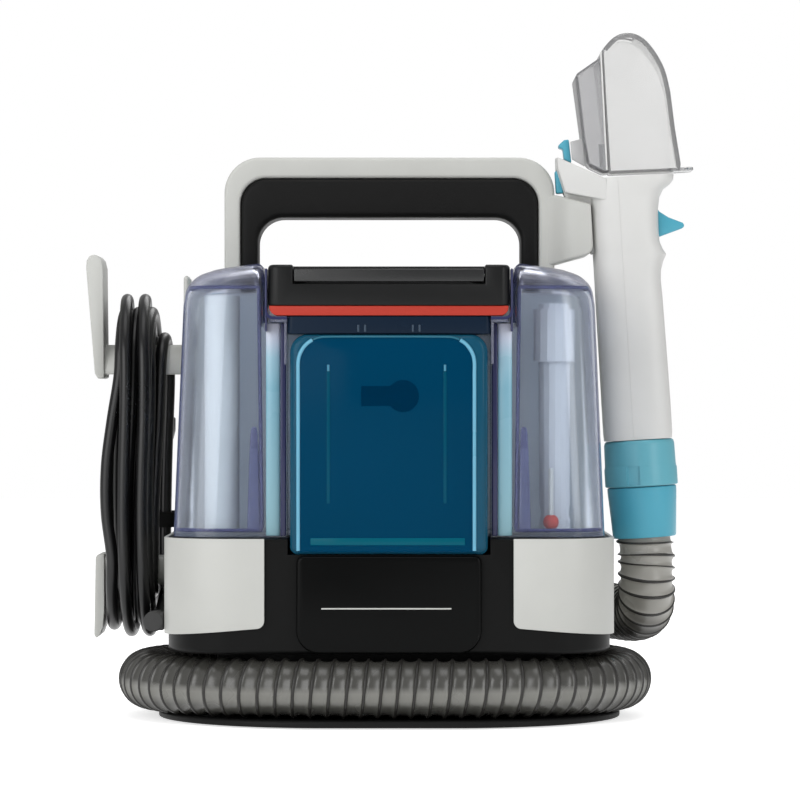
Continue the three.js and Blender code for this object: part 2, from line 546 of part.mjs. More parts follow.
function buildCuff() {
  const collar = turned([
    [13, 30.2], [21.4, 30.2], [21.4, 41], [20.9, 43], [20.6, 55], [19.6, 57.2], [13, 57.2],
  ]);
  const tab = turned([[20, 30.4], [22.6, 30.4], [22.6, 40.6], [20, 41]])
    .intersect(block(-4, 30, -30, 12, 20, 60));
  add('tool_collar', collar.add(tab), TEAL, tool);
  const cuff = turned([
    [17.4, 0], [18.6, 0], [20.3, 27], [20.3, 29.8], [13, 29.8], [13, 12], [17.4, 12],
  ]);
  add('hose_cuff', cuff, TEAL, tool);
}

const NOZZLE_FRONT = [
  [-9.4, 214.2], [33, 213.4], [33.4, 217.6], [31, 238.4], [29.4, 259], [28.3, 269.8], [24, 279],
  [19.9, 286.3], [16, 292.4], [11, 295.4], [4.5, 296], [-2.2, 293], [-9.2, 287.2],
];
const NOZZLE_REAR = [
  [-21.2, 219.9], [-12.2, 214.8], [4, 214.2], [4, 283], [-9.4, 282.2], [-25.5, 272.5], [-23.2, 235.8],
];
const nozzleHalf = (z) => 15 + 15 * (z - 213) / 83;

function nozzleVolume(outline, inset) {
  const section = new CrossSection([ring(outline)]).offset(-inset, 'Miter');
  const edge = section.toPolygons()[0];
  const face = section.offset(-2.5, 'Miter').toPolygons()[0];
  const points = [];
  for (const side of [-1, 1]) {
    for (const [x, z] of edge) points.push([x, side * (nozzleHalf(z) - 2.5 - inset), z]);
    for (const [x, z] of face) points.push([x, side * (nozzleHalf(z) - inset), z]);
  }
  return Manifold.hull(points);
}

function buildNozzle() {
  const outer = nozzleVolume(NOZZLE_FRONT, 0).add(nozzleVolume(NOZZLE_REAR, 0));
  const inner = nozzleVolume(NOZZLE_FRONT, 2).add(nozzleVolume(NOZZLE_REAR, 2));
  const mouth = block(-4, 15, -25, 25, 286, 300);
  const inlet = block(-6, 11, -8, 8, 210, 218);
  const lip = easedPrism(plan(27, 41, -13, 13, 4), 213.4, 217, 0.6);
  add('nozzle', outer.add(lip.subtract(inner)).subtract(inner).subtract(mouth).subtract(inlet), CLEAR_GREY, tool);
  const tip = rod('z', 3.2, 218, 233, [-9.6, 0], 16).add(block(-12, -6.6, -5, 5, 217.1, 221));
  add('spray_tip', tip, SOFT_BLACK, tool);
}

// ---------------------------------------------------------------- tubes along a route
function frames(points, endDirections = {}) {
  const tangents = points.map((p, i) => {
    const before = points[Math.max(i - 1, 0)];
    const after = points[Math.min(i + 1, points.length - 1)];
    return new THREE.Vector3().subVectors(after, before).normalize();
  });
  if (endDirections.first) tangents[0] = endDirections.first;
  if (endDirections.last) tangents[tangents.length - 1] = endDirections.last;
  const start = Math.abs(tangents[0].x) > 0.9 ? new THREE.Vector3(0, 1, 0) : new THREE.Vector3(1, 0, 0);
  let across = start.sub(tangents[0].clone().multiplyScalar(start.dot(tangents[0]))).normalize();
  return points.map((point, i) => {
    const along = tangents[i];
    across = across.clone().sub(along.clone().multiplyScalar(across.dot(along))).normalize();
    return { point, across, up: new THREE.Vector3().crossVectors(along, across) };
  });
}

function ringVertices(frame, radius, sides) {
  const list = [];
  for (let i = 0; i < sides; i += 1) {
    const angle = 2 * Math.PI * i / sides;
    list.push(frame.point.clone()
      .addScaledVector(frame.across, radius * Math.cos(angle))
      .addScaledVector(frame.up, radius * Math.sin(angle)));
  }
  return list;
}

// Joins closed rings of equal size, given in order round a closed section or along a rod.
function skin(rings, capped) {
  const sides = rings[0].length;
  const positions = [];
  const index = [];
  for (const loop of rings) for (const v of loop) positions.push(v.x, v.y, v.z);
  const count = capped ? rings.length - 1 : rings.length;
  for (let r = 0; r < count; r += 1) {
    const a = r * sides;
    const b = ((r + 1) % rings.length) * sides;
    for (let i = 0; i < sides; i += 1) {
      const j = (i + 1) % sides;
      index.push(a + i, a + j, b + i, b + i, a + j, b + j);
    }
  }
  if (capped) {
    const last = (rings.length - 1) * sides;
    for (let i = 1; i < sides - 1; i += 1) {
      index.push(0, i + 1, i);
      index.push(last, last + i, last + i + 1);
    }
  }
  const geometry = new THREE.BufferGeometry();
  geometry.setAttribute('position', new THREE.Float32BufferAttribute(positions, 3));
  geometry.setIndex(index);
  geometry.computeVertexNormals();
  return geometry;
}

const vectors = (list) => list.map(([x, y, z]) => new THREE.Vector3(x, y, z));
const route = (list) => new THREE.CatmullRomCurve3(vectors(list), false, 'centripetal');

const DOWN = new THREE.Vector3(0, 0, -1);
const INTO_PORT = new THREE.Vector3(-1, 0, 0);

function ribbedHose(curve, name, endDirections) {
  const length = curve.getLength();
  const ribs = Math.max(1, Math.round(length / HOSE.pitch));
  curve.arcLengthDivisions = 800;
  curve.updateArcLengths();
  const stations = [];
  for (let i = 0; i <= 2 * ribs; i += 1) stations.push(curve.getPointAt(i / (2 * ribs)));
  const along = frames(stations, endDirections);
  const outside = along.map((frame, i) => ringVertices(frame, i % 2 ? HOSE.radius : HOSE.root, HOSE.sides));
  const inside = [];
  for (let i = 0; i < along.length - 1; i += BORE_RING_STEPS) {
    inside.push(ringVertices(along[i], HOSE.bore, HOSE.sides));
  }
  inside.push(ringVertices(along[along.length - 1], HOSE.bore, HOSE.sides));
  console.log(`${name}: ${ribs} ribs on ${length.toFixed(0)} mm`);
  return skin([...outside, ...inside.reverse()], false);
}

const RISER_X = TOOL.x + 1;
const HOSE_ROUTE = [
  [RISER_X, 15, 87], [RISER_X, 15, 81], [RISER_X + 0.3, 18.5, 70.5], [RISER_X - 0.2, 29, 61.5],
  [RISER_X - 4.4, 47, 57], [132, 72, 57], [106, 89, 57.6],
  [72, 92, 57.6], [38, 92, 56.6], [8, 92, 47], [-22, 92, 32], [-52, 91, HOSE_Z + 1], [-88, 80, HOSE_Z],
  [-118, 56, HOSE_Z], [-136, 24, HOSE_Z], [-141, -4, HOSE_Z], [-136, -32, HOSE_Z], [-118, -60, HOSE_Z],
  [-88, -82, HOSE_Z], [-50, -92, HOSE_Z], [0, -94, HOSE_Z], [50, -92, HOSE_Z], [86, -82, HOSE_Z],
  [115, -60, HOSE_Z], [132, -30, HOSE_Z], [136, 0, HOSE_Z], [131, 28, HOSE_Z], [116, 56, HOSE_Z],
  [98, 77, HOSE_Z], [79, 89.4, HOSE_Z], [PORT.x + 20, PORT.y, HOSE_Z], [PORT.x + 12, PORT.y, HOSE_Z],
];
const RISER_TOP = 11.6;          // along the tool, inside the cuff

function buildHose() {
  const [topX, topZ] = worldPoint([0, RISER_TOP]);
  const [entryX, entryZ] = worldPoint([0, -4]);
  const start = HOSE_ROUTE[0];
  const riser = route([[topX, TOOL.y, topZ], [entryX, TOOL.y, entryZ],
    [start[0], start[1], start[2] + 6], [start[0], start[1], start[2] + GAP]]);
  add('suction_hose_riser', ribbedHose(riser, 'riser', { last: DOWN }), HOSE_GREY);
  add('suction_hose_wrap', ribbedHose(route(HOSE_ROUTE), 'wrap', { first: DOWN, last: INTO_PORT }), HOSE_GREY);
  const mouth = PORT.x + 11.6;
  const barrel = rod('x', PORT.barrel, mouth - PORT.length, mouth, [PORT.y, HOSE_Z])
    .add(rod('y', PORT.spigot, CORE.halfY + GAP, PORT.y, [PORT.x, HOSE_Z]));
  const bores = rod('x', 12, mouth - PORT.length + 3, mouth + 3, [PORT.y, HOSE_Z])
    .add(rod('y', PORT.bore, CORE.halfY - 7, PORT.y, [PORT.x, HOSE_Z]));
  add('hose_port', barrel.subtract(bores), SOFT_BLACK);
}

// ---------------------------------------------------------------- cord
// Layers of the hank: each has a count of turns, a direction along X and a distance between turns.
const LAYERS = [
  { turns: 4, way: -1, pitch: STRAND }, { turns: 3, way: 1, pitch: STRAND },
  { turns: 3, way: -1, pitch: STRAND }, { turns: 2, way: 1, pitch: STRAND + 3 },
];
const OUTER_RADIUS = HANK.innerRadius + STRAND * (LAYERS.length - 1);
// Steps of one loop: half of the lower bend, the rear run, the upper bend, the front run,
// and the other half of the lower bend.
const STEPS = { half: 4, rear: 2, bend: 8, front: 4 };
const LOOP_STEPS = 2 * STEPS.half + STEPS.rear + STEPS.bend + STEPS.front;
const FRONT_START = STEPS.half + STEPS.rear + STEPS.bend;
const TO_REAR = new THREE.Vector3(0, 1, 0);

function racetrack(step, radius) {
  const k = ((step % LOOP_STEPS) + LOOP_STEPS) % LOOP_STEPS;
  const bend = (degrees, z) => {
    const angle = THREE.MathUtils.degToRad(degrees);
    return [HANK.y + radius * Math.cos(angle), z + radius * Math.sin(angle)];
  };
  const run = HANK.high - HANK.low;
  const bendStart = STEPS.half + STEPS.rear;
  const frontEnd = FRONT_START + STEPS.front;
  if (k <= STEPS.half) return bend(-90 + 90 * k / STEPS.half, HANK.low);
  if (k < bendStart) return [HANK.y + radius, HANK.low + run * (k - STEPS.half) / STEPS.rear];
  if (k <= FRONT_START) return bend(180 * (k - bendStart) / STEPS.bend, HANK.high);
  if (k < frontEnd) return [HANK.y - radius, HANK.high - run * (k - FRONT_START) / STEPS.front];
  return bend(180 + 90 * (k - frontEnd) / STEPS.half, HANK.low);
}

function windingPoints() {
  const points = [];
  const bounds = [];
  let total = 0;
  for (const layer of LAYERS) {
    bounds.push(total);
    total += layer.turns;
  }
  for (let step = 0; step <= total * LOOP_STEPS; step += 1) {
    const turn = step / LOOP_STEPS;
    let x = HANK.x;
    let radius = HANK.innerRadius;
    LAYERS.forEach((layer, i) => {
      const done = THREE.MathUtils.clamp(turn - bounds[i], 0, layer.turns);
      x += layer.way * layer.pitch * done;
      if (i > 0) radius += STRAND * THREE.MathUtils.smoothstep(turn, bounds[i] - 0.25, bounds[i] + 0.25);
    });
    const k = step % LOOP_STEPS;
    const alongFront = THREE.MathUtils.clamp((k - FRONT_START) / STEPS.front, 0, 1);
    const onFront = Math.sin(Math.PI * alongFront);
    const bow = 7 * onFront * THREE.MathUtils.smoothstep(HANK.x - x, 22, 32);
    const [y, z] = racetrack(step, radius);
    const lean = 3 * THREE.MathUtils.smoothstep(z, HANK.low + 20, HANK.high);
    points.push(new THREE.Vector3(x - bow + lean, y, z));
  }
  return points;
}

function leastGap(points, diameter) {
  let least = Infinity;
  const fine = [];
  for (let i = 0; i < points.length - 1; i += 1) {
    for (let j = 0; j < 4; j += 1) fine.push(points[i].clone().lerp(points[i + 1], j / 4));
  }
  for (let i = 0; i < fine.length; i += 1) {
    for (let j = i + 40; j < fine.length; j += 1) least = Math.min(least, fine[i].distanceTo(fine[j]));
  }
  return least - diameter;
}

function cordTube(curve, steps) {
  const angleStep = 2 * Math.PI / CORD.sides;
  const section = new THREE.Shape();
  for (let i = 0; i < CORD.sides; i += 1) {
    const x = CORD.diameter / 2 * Math.cos(i * angleStep);
    const y = CORD.diameter / 2 * Math.sin(i * angleStep);
    if (i === 0) section.moveTo(x, y); else section.lineTo(x, y);
  }
  section.closePath();
  return fromGeometry(new THREE.ExtrudeGeometry(section, { steps, extrudePath: curve, curveSegments: 1 }));
}

const LEAD_ROUTE = [
  [GLAND.x, -34, GLAND.z], [GLAND.x, -26, GLAND.z], [GLAND.x + 0.2, -18, GLAND.z], [GLAND.x + 0.8, -8, 58.9],
  [HANK.x - 0.5, 2, 62.2], [HANK.x - 0.1, 10, 65.4], [HANK.x, 18, 68.1], [HANK.x, 25, 69.8],
  [HANK.x, HANK.y - 0.6, HANK.low - HANK.innerRadius],
];
const TAIL_X = HANK.x - 9.2;
const PLUG = { x: TAIL_X, y: 84.6, z0: 134 };
const TAIL_ROUTE = [
  [TAIL_X, HANK.y + 0.6, 47.3], [TAIL_X, 38, 48], [TAIL_X, 47, 50.7], [TAIL_X, 55, 55],
  [TAIL_X, 61.3, 60.3], [TAIL_X, 67, 67.2], [TAIL_X, 70.9, 74.6], [TAIL_X, 73.4, 83], [TAIL_X, 74.3, 91.6],
  [TAIL_X, 75.6, 101], [TAIL_X, 79.4, 109.7], [TAIL_X, 83.3, 118.5],
  [PLUG.x, PLUG.y, PLUG.z0 - 6.5], [PLUG.x, PLUG.y, PLUG.z0 - GAP],
];

function buildCord() {
  const winding = windingPoints();
  console.log(`cord hank least gap ${leastGap(winding, CORD.diameter).toFixed(2)} mm`);
  let length = 0;
  for (let i = 1; i < winding.length; i += 1) length += winding[i].distanceTo(winding[i - 1]);
  console.log(`cord hank length ${length.toFixed(0)} mm in ${winding.length - 1} steps`);
  const ends = { first: TO_REAR, last: TO_REAR };
  const rings = frames(winding, ends).map((frame) => ringVertices(frame, CORD.diameter / 2, 6));
  add('cord_winding', skin(rings, true), CORD_BLACK);
  add('cord_lead_in', cordTube(route(LEAD_ROUTE), 14), CORD_BLACK);
  add('cord_tail', cordTube(route(TAIL_ROUTE), 12), CORD_BLACK);

  const { x, y, z0 } = PLUG;
  const body = Manifold.hull([
    rod('z', 6, z0, z0 + 0.6, [x, y], 20),
    rod('z', 6.8, z0 + 17.6, z0 + 18, [x, y], 20),
    prism(plan(x - 12, x + 12, y - 7, y + 7, 6), z0 + 31.6, z0 + 39.6),
  ]);
  add('plug_body', body, CORD_BLACK);
  for (const [side, word] of [[-1, 'left'], [1, 'right']]) {
    add(`plug_pin_${word}`, rod('z', 2, z0 + 39.9, z0 + 58.6, [x + 6.5 * side, y], 14), STEEL);
  }
}

// The tapered boot lies along the side wall, and a strap holds the hank's rear run.
function buildCordFittings() {
  const at = [GLAND.x, GLAND.z];
  const boot = Manifold.hull([
    rod('y', GLAND.radius, GLAND.front, GLAND.front + 10, at, 20),
    rod('y', GLAND.tip, GLAND.back - 1, GLAND.back, at, 20),
  ]);
  const heel = block(GLAND.x, -SIDE_X - GAP, GLAND.front, GLAND.front + 14, GLAND.z - 5, GLAND.z + 5);
  const bore = rod('y', CORD.diameter / 2 + GAP, LEAD_ROUTE[0][1] - 1, GLAND.back + 1, at, 20);
  add('cord_gland', boot.add(heel).subtract(bore), finish(0x4a4a4a, 0.6));

  const reach = CORD.diameter / 2 + 0.4;
  const left = HANK.x - LAYERS[0].turns * STRAND - reach;
  const right = HANK.x + reach;
  const front = HANK.y + HANK.innerRadius - reach;
  const back = PLUG.y + reach - 1.6;
  const strap = 1.6;
  const tie = prism(plan(left - strap, right + strap, front - strap, back + strap, 4.8), TIE.z0, TIE.z1)
    .subtract(prism(plan(left, right, front, back, 3.2), TIE.z0 - 1, TIE.z1 + 1));
  add('cord_tie', tie, SOFT_BLACK);
}

function hookPlate(outline) {
  return easedSlab(outline, HANK.y - HOOK.halfY, HANK.y + HOOK.halfY, 1.3);
}

function buildHooks() {
  const { radius } = HOOK;
  const y0 = HANK.y - radius;
  const y1 = HANK.y + radius;
  const out = HANK.x - LAYERS[0].turns * STRAND - CORD.diameter / 2 - 1;
  const top = RECOVERY.z1;
  const wallX = -TOWER.halfX - GAP;
  const upperArm = rod('x', radius, out - 1, wallX, [HANK.y, HANK.high])
    .intersect(block(out - 1, wallX, y0, y1, HANK.high, HANK.high + radius));
  const upperPlate = hookPlate([
    [out, HANK.high - 2.7], [out - 1.1, top + 12.6], [out - 10.9, top + 12.6], [out - 5.1, HANK.high - 2.7],
  ]);
  const upperFlange = block(wallX - 2.7, wallX, y0 - 3, y1 + 3, HANK.high - 2, top);
  add('cord_hook_upper', upperArm.add(upperPlate).add(upperFlange), WHITE);

  const panelX = -SIDE_X - 0.4;
  const lowerArm = rod('x', radius, out - 1, panelX, [HANK.y, HANK.low])
    .intersect(block(out - 1, panelX, y0, y1, HANK.low - radius, HANK.low));
  const lowerRoot = rod('x', radius, panelX - 2.6, panelX, [HANK.y, HANK.low]);
  const lowerPlate = hookPlate([
    [out, HANK.low + 1.7], [out, 60], [out - 1.7, 45], [out - 5.9, 44], [out - 4.7, HANK.low + 1.7],
  ]);
  add('cord_hook_lower', lowerArm.add(lowerPlate).add(lowerRoot), WHITE);
}

// ---------------------------------------------------------------- assembly
buildBase();
buildHousing();
buildPanels();
buildTower();
buildDrive();
buildHandle();
buildDock();
buildRecoveryTank();
buildLid();
buildCleanTank();
buildToolShells();
buildCuff();
buildNozzle();
buildHose();
buildHooks();
buildCord();
buildCordFittings();

export default machine;
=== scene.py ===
"""Spot extractor: the dressed model of a portable carpet and upholstery cleaner."""
import math

import bmesh
import bpy
from mathutils import Matrix, Vector


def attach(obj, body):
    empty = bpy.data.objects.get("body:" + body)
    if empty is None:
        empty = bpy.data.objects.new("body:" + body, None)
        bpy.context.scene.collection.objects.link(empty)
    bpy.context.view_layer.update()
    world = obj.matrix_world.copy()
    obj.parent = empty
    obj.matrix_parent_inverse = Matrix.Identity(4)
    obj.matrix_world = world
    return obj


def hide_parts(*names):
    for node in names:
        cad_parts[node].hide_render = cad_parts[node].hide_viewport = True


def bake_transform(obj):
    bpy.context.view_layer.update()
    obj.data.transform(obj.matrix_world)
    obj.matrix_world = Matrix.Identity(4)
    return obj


MM = 0.001
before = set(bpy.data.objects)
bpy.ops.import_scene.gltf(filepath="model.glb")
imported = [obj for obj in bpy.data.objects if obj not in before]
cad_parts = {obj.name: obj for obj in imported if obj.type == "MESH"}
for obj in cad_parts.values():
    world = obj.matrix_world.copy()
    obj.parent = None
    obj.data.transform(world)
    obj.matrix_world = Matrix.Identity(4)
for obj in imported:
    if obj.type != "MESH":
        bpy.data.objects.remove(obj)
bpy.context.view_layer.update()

# ---------------------------------------------------------------- camera
CAMERA_X = 6.2
CAMERA_Y = -2300.0
CAMERA_Z = 184.0
MM_PER_PIXEL = 0.56       # at the front plane
FRONT_PLANE_Y = -100.0
IMAGE_SIZE = 800


def make_camera():
    distance = FRONT_PLANE_Y - CAMERA_Y
    data = bpy.data.cameras.new("camera")
    data.sensor_width = 36.0
    data.lens = distance / MM_PER_PIXEL * data.sensor_width / IMAGE_SIZE
    data.clip_end = 50.0
    camera = bpy.data.objects.new("camera", data)
    camera.location = (CAMERA_X * MM, CAMERA_Y * MM, CAMERA_Z * MM)
    camera.rotation_euler = (math.radians(90), 0, 0)
    bpy.context.collection.objects.link(camera)
    bpy.context.scene.camera = camera


make_camera()


# ---------------------------------------------------------------- materials
NOISE_LOW = 0.3                  # most of a noise texture's values lie between these
NOISE_HIGH = 0.7
GRAIN_DEPTH = 0.0002


def fill(node, values):
    """Gives sockets a constant or, where the value is another node's output, a link."""
    for name, value in values.items():
        if isinstance(value, bpy.types.NodeSocket):
            node.id_data.links.new(value, node.inputs[name])
        else:
            node.inputs[name].default_value = value
    return node


def add(tree, kind, values):
    return fill(tree.nodes.new(kind), values)


def new_material(name):
    material = bpy.data.materials.new(name)
    material.use_nodes = True
    tree = material.node_tree
    return material, tree, tree.nodes["Principled BSDF"]


def object_place(tree):
    return tree.nodes.new("ShaderNodeTexCoord").outputs["Object"]


def noise(tree, scale, detail):
    values = {"Vector": object_place(tree), "Scale": scale, "Detail": detail}
    return add(tree, "ShaderNodeTexNoise", values).outputs["Fac"]


def spread(tree, value, low, high, from_low=NOISE_LOW, from_high=NOISE_HIGH):
    values = {"Value": value, "From Min": from_low, "From Max": from_high, "To Min": low, "To Max": high}
    return add(tree, "ShaderNodeMapRange", values).outputs["Result"]


def varied_colour(tree, value, colour, change):
    """The colour, a little darker or lighter as the value goes up."""
    ramp = add(tree, "ShaderNodeValToRGB", {"Fac": value})
    ends = ((NOISE_LOW, 1 - change), (NOISE_HIGH, 1 + change))
    for element, (position, factor) in zip(ramp.color_ramp.elements, ends):
        element.position = position
        element.color = [min(1, c * factor) for c in colour] + [1]
    return ramp.outputs["Color"]


def mixed(tree, share, first, second):
    return add(tree, "ShaderNodeMixShader", {0: share, 1: first, 2: second}).outputs["Shader"]


def facing_share(tree, facing, turned_away, turn):
    """Goes from one share to the other as the wall turns away from the eye."""
    weight = tree.nodes.new("ShaderNodeLayerWeight")
    return spread(tree, weight.outputs["Facing"], facing, turned_away, *turn)


def plastic(name, colour, roughness, grain, grain_scale=1400, gloss=0.5):
    """Moulded plastic or rubber with a fine grain, and slow changes of tone and polish."""
    material, tree, shader = new_material(name)
    broad = noise(tree, 22, 4)
    bump = {"Strength": grain, "Distance": GRAIN_DEPTH, "Height": noise(tree, grain_scale, 2)}
    fill(shader, {
        "Base Color": varied_colour(tree, broad, colour, 0.03),
        "Roughness": spread(tree, broad, roughness * 0.85, roughness * 1.15),
        "Normal": add(tree, "ShaderNodeBump", bump).outputs["Normal"], "Specular IOR Level": gloss,
    })
    return material


def clear(name, tint, body, roughness, haze=0.04, edge=0.75):
    """Clear plastic. Where the wall turns away, more of the moulding's own colour shows."""
    material, tree, glass = new_material(name)
    broad = noise(tree, 14, 3)
    fill(glass, {
        "Base Color": varied_colour(tree, broad, tint, 0.02),
        "Roughness": spread(tree, broad, roughness * 0.7, roughness * 1.4),
        "IOR": 1.45, "Transmission Weight": 1.0,
    })
    solid = add(tree, "ShaderNodeBsdfPrincipled", {
        "Base Color": varied_colour(tree, broad, body, 0.04), "Roughness": 0.16,
    })
    share = facing_share(tree, haze, edge, (0.45, 0.95))
    moulded = mixed(tree, share, glass.outputs["BSDF"], solid.outputs["BSDF"])
    window = add(tree, "ShaderNodeBsdfTransparent", {"Color": [c ** 0.5 for c in tint] + [1]})
    in_shadow = tree.nodes.new("ShaderNodeLightPath").outputs["Is Shadow Ray"]
    fill(tree.nodes["Material Output"], {"Surface": mixed(tree, in_shadow, moulded, window.outputs["BSDF"])})
    return material


def veil(name, tint, body, share, edge, gloss):
    """Deeply coloured clear plastic, thin enough that it doesn't bend what shows through."""
    material, tree, solid = new_material(name)
    broad = noise(tree, 14, 3)
    fill(solid, {
        "Base Color": varied_colour(tree, broad, body, 0.03),
        "Roughness": spread(tree, broad, 0.096, 0.144), "Specular IOR Level": gloss,
    })
    window = add(tree, "ShaderNodeBsdfTransparent", {"Color": [*tint, 1]})
    amount = facing_share(tree, share, edge, (0.35, 0.9))
    whole = mixed(tree, amount, window.outputs["BSDF"], solid.outputs["BSDF"])
    fill(tree.nodes["Material Output"], {"Surface": whole})
    return material


def by_height(name, low, high, colours, roughness, gloss, ior=1.5):
    """A plastic whose colour changes with height. The first two colours are the two ends'."""
    material, tree, shader = new_material(name)
    axes = add(tree, "ShaderNodeSeparateXYZ", {0: object_place(tree)})
    height = spread(tree, axes.outputs["Z"], 0.0, 1.0, low * MM, high * MM)
    ramp = add(tree, "ShaderNodeValToRGB", {"Fac": height})
    for i, (position, colour) in enumerate(colours):
        element = ramp.color_ramp.elements[i] if i < 2 else ramp.color_ramp.elements.new(position)
        element.position = position
        element.color = [*colour, 1]
    fill(shader, {
        "Base Color": ramp.outputs["Color"],
        "Roughness": spread(tree, noise(tree, 30, 3), roughness * 0.8, roughness * 1.2),
        "Specular IOR Level": gloss, "IOR": ior,
    })
    return material


def metal(name, colour, roughness):
    material, tree, shader = new_material(name)
    broad = noise(tree, 200, 4)
    fill(shader, {
        "Base Color": varied_colour(tree, broad, colour, 0.05),
        "Roughness": spread(tree, broad, roughness * 0.7, roughness * 1.3), "Metallic": 1.0,
    })
    return material


WHITE = plastic("warm_white_plastic", (0.565, 0.57, 0.543), 0.42, 0.06, gloss=0.35)
WHITE_TOOL = plastic("tool_white_plastic", (0.70, 0.70, 0.685), 0.40, 0.05, gloss=0.35)
BLACK = plastic("satin_black_plastic", (0.0035, 0.0036, 0.0036), 0.40, 0.10, gloss=0.11)
LID_BLACK = plastic("lid_black_plastic", (0.0075, 0.0078, 0.008), 0.36, 0.10, gloss=0.2)
BAIL_BLACK = plastic("bail_black_plastic", (0.011, 0.0115, 0.012), 0.30, 0.08, gloss=0.5)
BLACK_PANEL = plastic("panel_black_plastic", (0.0028, 0.003, 0.003), 0.20, 0.02, gloss=0.07)
SOFT_BLACK = plastic("soft_black_plastic", (0.006, 0.006, 0.006), 0.5, 0.35, 1000, gloss=0.14)
TEAL = plastic("teal_plastic", (0.080, 0.39, 0.52), 0.34, 0.05, gloss=0.4)
COLLAR_TEAL = plastic("collar_teal_plastic", (0.135, 0.43, 0.52), 0.34, 0.05, gloss=0.4)
NAVY = plastic("navy_plastic", (0.006, 0.015, 0.032), 0.3, 0.05, gloss=0.1)
NAVY_LIT = plastic("rim_clip_plastic", (0.035, 0.060, 0.095), 0.3, 0.05, gloss=0.3)
RED = plastic("red_seal", (0.46, 0.040, 0.024), 0.5, 0.2, gloss=0.25)
RUBBER = plastic("foot_rubber", (0.015, 0.015, 0.015), 0.8, 0.4, 700, gloss=0.2)
GREY_RUBBER = plastic("strain_relief_rubber", (0.05, 0.05, 0.05), 0.6, 0.2, gloss=0.3)
CORD_BLACK = plastic("cord_rubber", (0.0045, 0.0045, 0.005), 0.30, 0.10, 1100, gloss=0.42)
STEEL = metal("steel", (0.62, 0.63, 0.64), 0.28)
# Pale plastic for the column inside the left lobe, which is a painted highlight
PALE_HIGHLIGHT_COLUMN = plastic("lobe_highlight_plastic", (0.50, 0.525, 0.53), 0.35, 0.02)
PALE_TUBE = plastic("pale_tube_plastic", (0.62, 0.64, 0.67), 0.3, 0.03)
CLEAR_GREY = clear("tank_clear_plastic", (0.86, 0.91, 0.97), (0.16, 0.19, 0.33), 0.11)
# A darker copy of the tank's clear plastic, for painted shade on the lobes' rounded tops
CROWN_PAINTED_SHADE = clear("tank_crown_painted_shade", (0.58, 0.60, 0.69), (0.10, 0.11, 0.22), 0.11)
CLEAR_RIB = veil("tank_rib_plastic", (0.50, 0.53, 0.70), (0.11, 0.12, 0.25), 0.55, 0.9, 0.5)
CLEAR_FLANGE = veil("rim_flange_plastic", (0.80, 0.82, 0.92), (0.38, 0.40, 0.52), 0.35, 0.8, 0.5)
VIOLET_DARK = veil("cheek_dark_plastic", (0.10, 0.11, 0.30), (0.035, 0.04, 0.12), 0.8, 0.95, 0.4)
CLEAR_BLUE = veil("clean_tank_blue_plastic", (0.02, 0.50, 0.66), (0.0, 0.066, 0.150), 0.60, 0.85, 0.05)
BLUE_BAND = veil("clean_tank_light_band", (0.02, 0.55, 0.70), (0.0, 0.088, 0.150), 0.75, 0.9, 0.1)
BLUE_DEEP = veil("clean_tank_valve_shade", (0.02, 0.60, 0.75), (0.0, 0.056, 0.121), 0.30, 0.85, 0.05)
BLUE_LIT = plastic("clean_tank_rib_glint", (0.05, 0.24, 0.36), 0.3, 0.02)
BLUE_FOOT = veil("clean_tank_foot_band", (0.02, 0.55, 0.70), (0.0, 0.115, 0.17), 0.85, 0.9, 0.1)
BLUE_FLANGE = veil("clean_tank_flange", (0.08, 0.55, 0.72), (0.012, 0.118, 0.205), 0.60, 0.85, 0.2)
CYAN_EDGE = plastic("clean_tank_lit_edge", (0.13, 0.41, 0.58), 0.3, 0.02)
TEAL_LINE = plastic("clean_tank_top_line", (0.008, 0.13, 0.20), 0.25, 0.02)
STRIP_TEAL = by_height("clear_teal_strip", 107, 227, [
    (0.0, (0.26, 0.46, 0.53)), (1.0, (0.66, 0.67, 0.76)), (0.70, (0.21, 0.43, 0.54)),
    (0.84, (0.32, 0.53, 0.64)), (0.93, (0.56, 0.62, 0.74))], 0.26, 0.35)
CLEAR_NOZZLE = clear("nozzle_clear_plastic", (0.93, 0.93, 0.925), (0.36, 0.36, 0.365), 0.05, 0.10, 0.85)
SMOKE_NOZZLE = clear("nozzle_smoke_plastic", (0.80, 0.80, 0.805), (0.28, 0.28, 0.29), 0.05, 0.16, 0.85)
RIM_SMOKE = veil("nozzle_rim_smoke", (0.70, 0.70, 0.70), (0.34, 0.34, 0.345), 0.45, 0.85, 0.4)
LATCH_GREY = plastic("nozzle_latch_grey", (0.46, 0.46, 0.465), 0.3, 0.03)
PALE_EDGE = plastic("nozzle_lit_edge", (0.74, 0.74, 0.73), 0.25, 0.02)
GREY_EDGE = plastic("nozzle_dark_edge", (0.20, 0.20, 0.20), 0.3, 0.02)
HOSE_RIB = plastic("hose_rib", (0.022, 0.021, 0.019), 0.32, 0.08, gloss=0.4)
# The hose skin's dark tone, with a painted reflection of the floor as a light band about 16 to 20 mm up, and
# a paler riser from about 58 mm up that is partly its stretched skin and partly painted light against the
# body's shade
HOSE_SKIN_PAINTED_LIGHT = by_height("hose_membrane_painted_light", 0, 116, [
    (0.0, (0.060, 0.059, 0.053)), (1.0, (0.36, 0.35, 0.32)), (0.10, (0.085, 0.084, 0.076)),
    (0.135, (0.19, 0.188, 0.170)), (0.172, (0.19, 0.188, 0.170)), (0.205, (0.055, 0.054, 0.048)),
    (0.40, (0.052, 0.051, 0.046)), (0.50, (0.34, 0.33, 0.30))], 0.27, 0.6, 1.55)
TIP_GREY = plastic("spray_tip_plastic", (0.42, 0.43, 0.44), 0.4, 0.05)


# ---------------------------------------------------------------- mesh helpers
SHARP = 38                       # an edge that turns by more degrees than this stays sharp
SHORTEST = 1e-6                  # keeps two points in one place from dividing by nothing


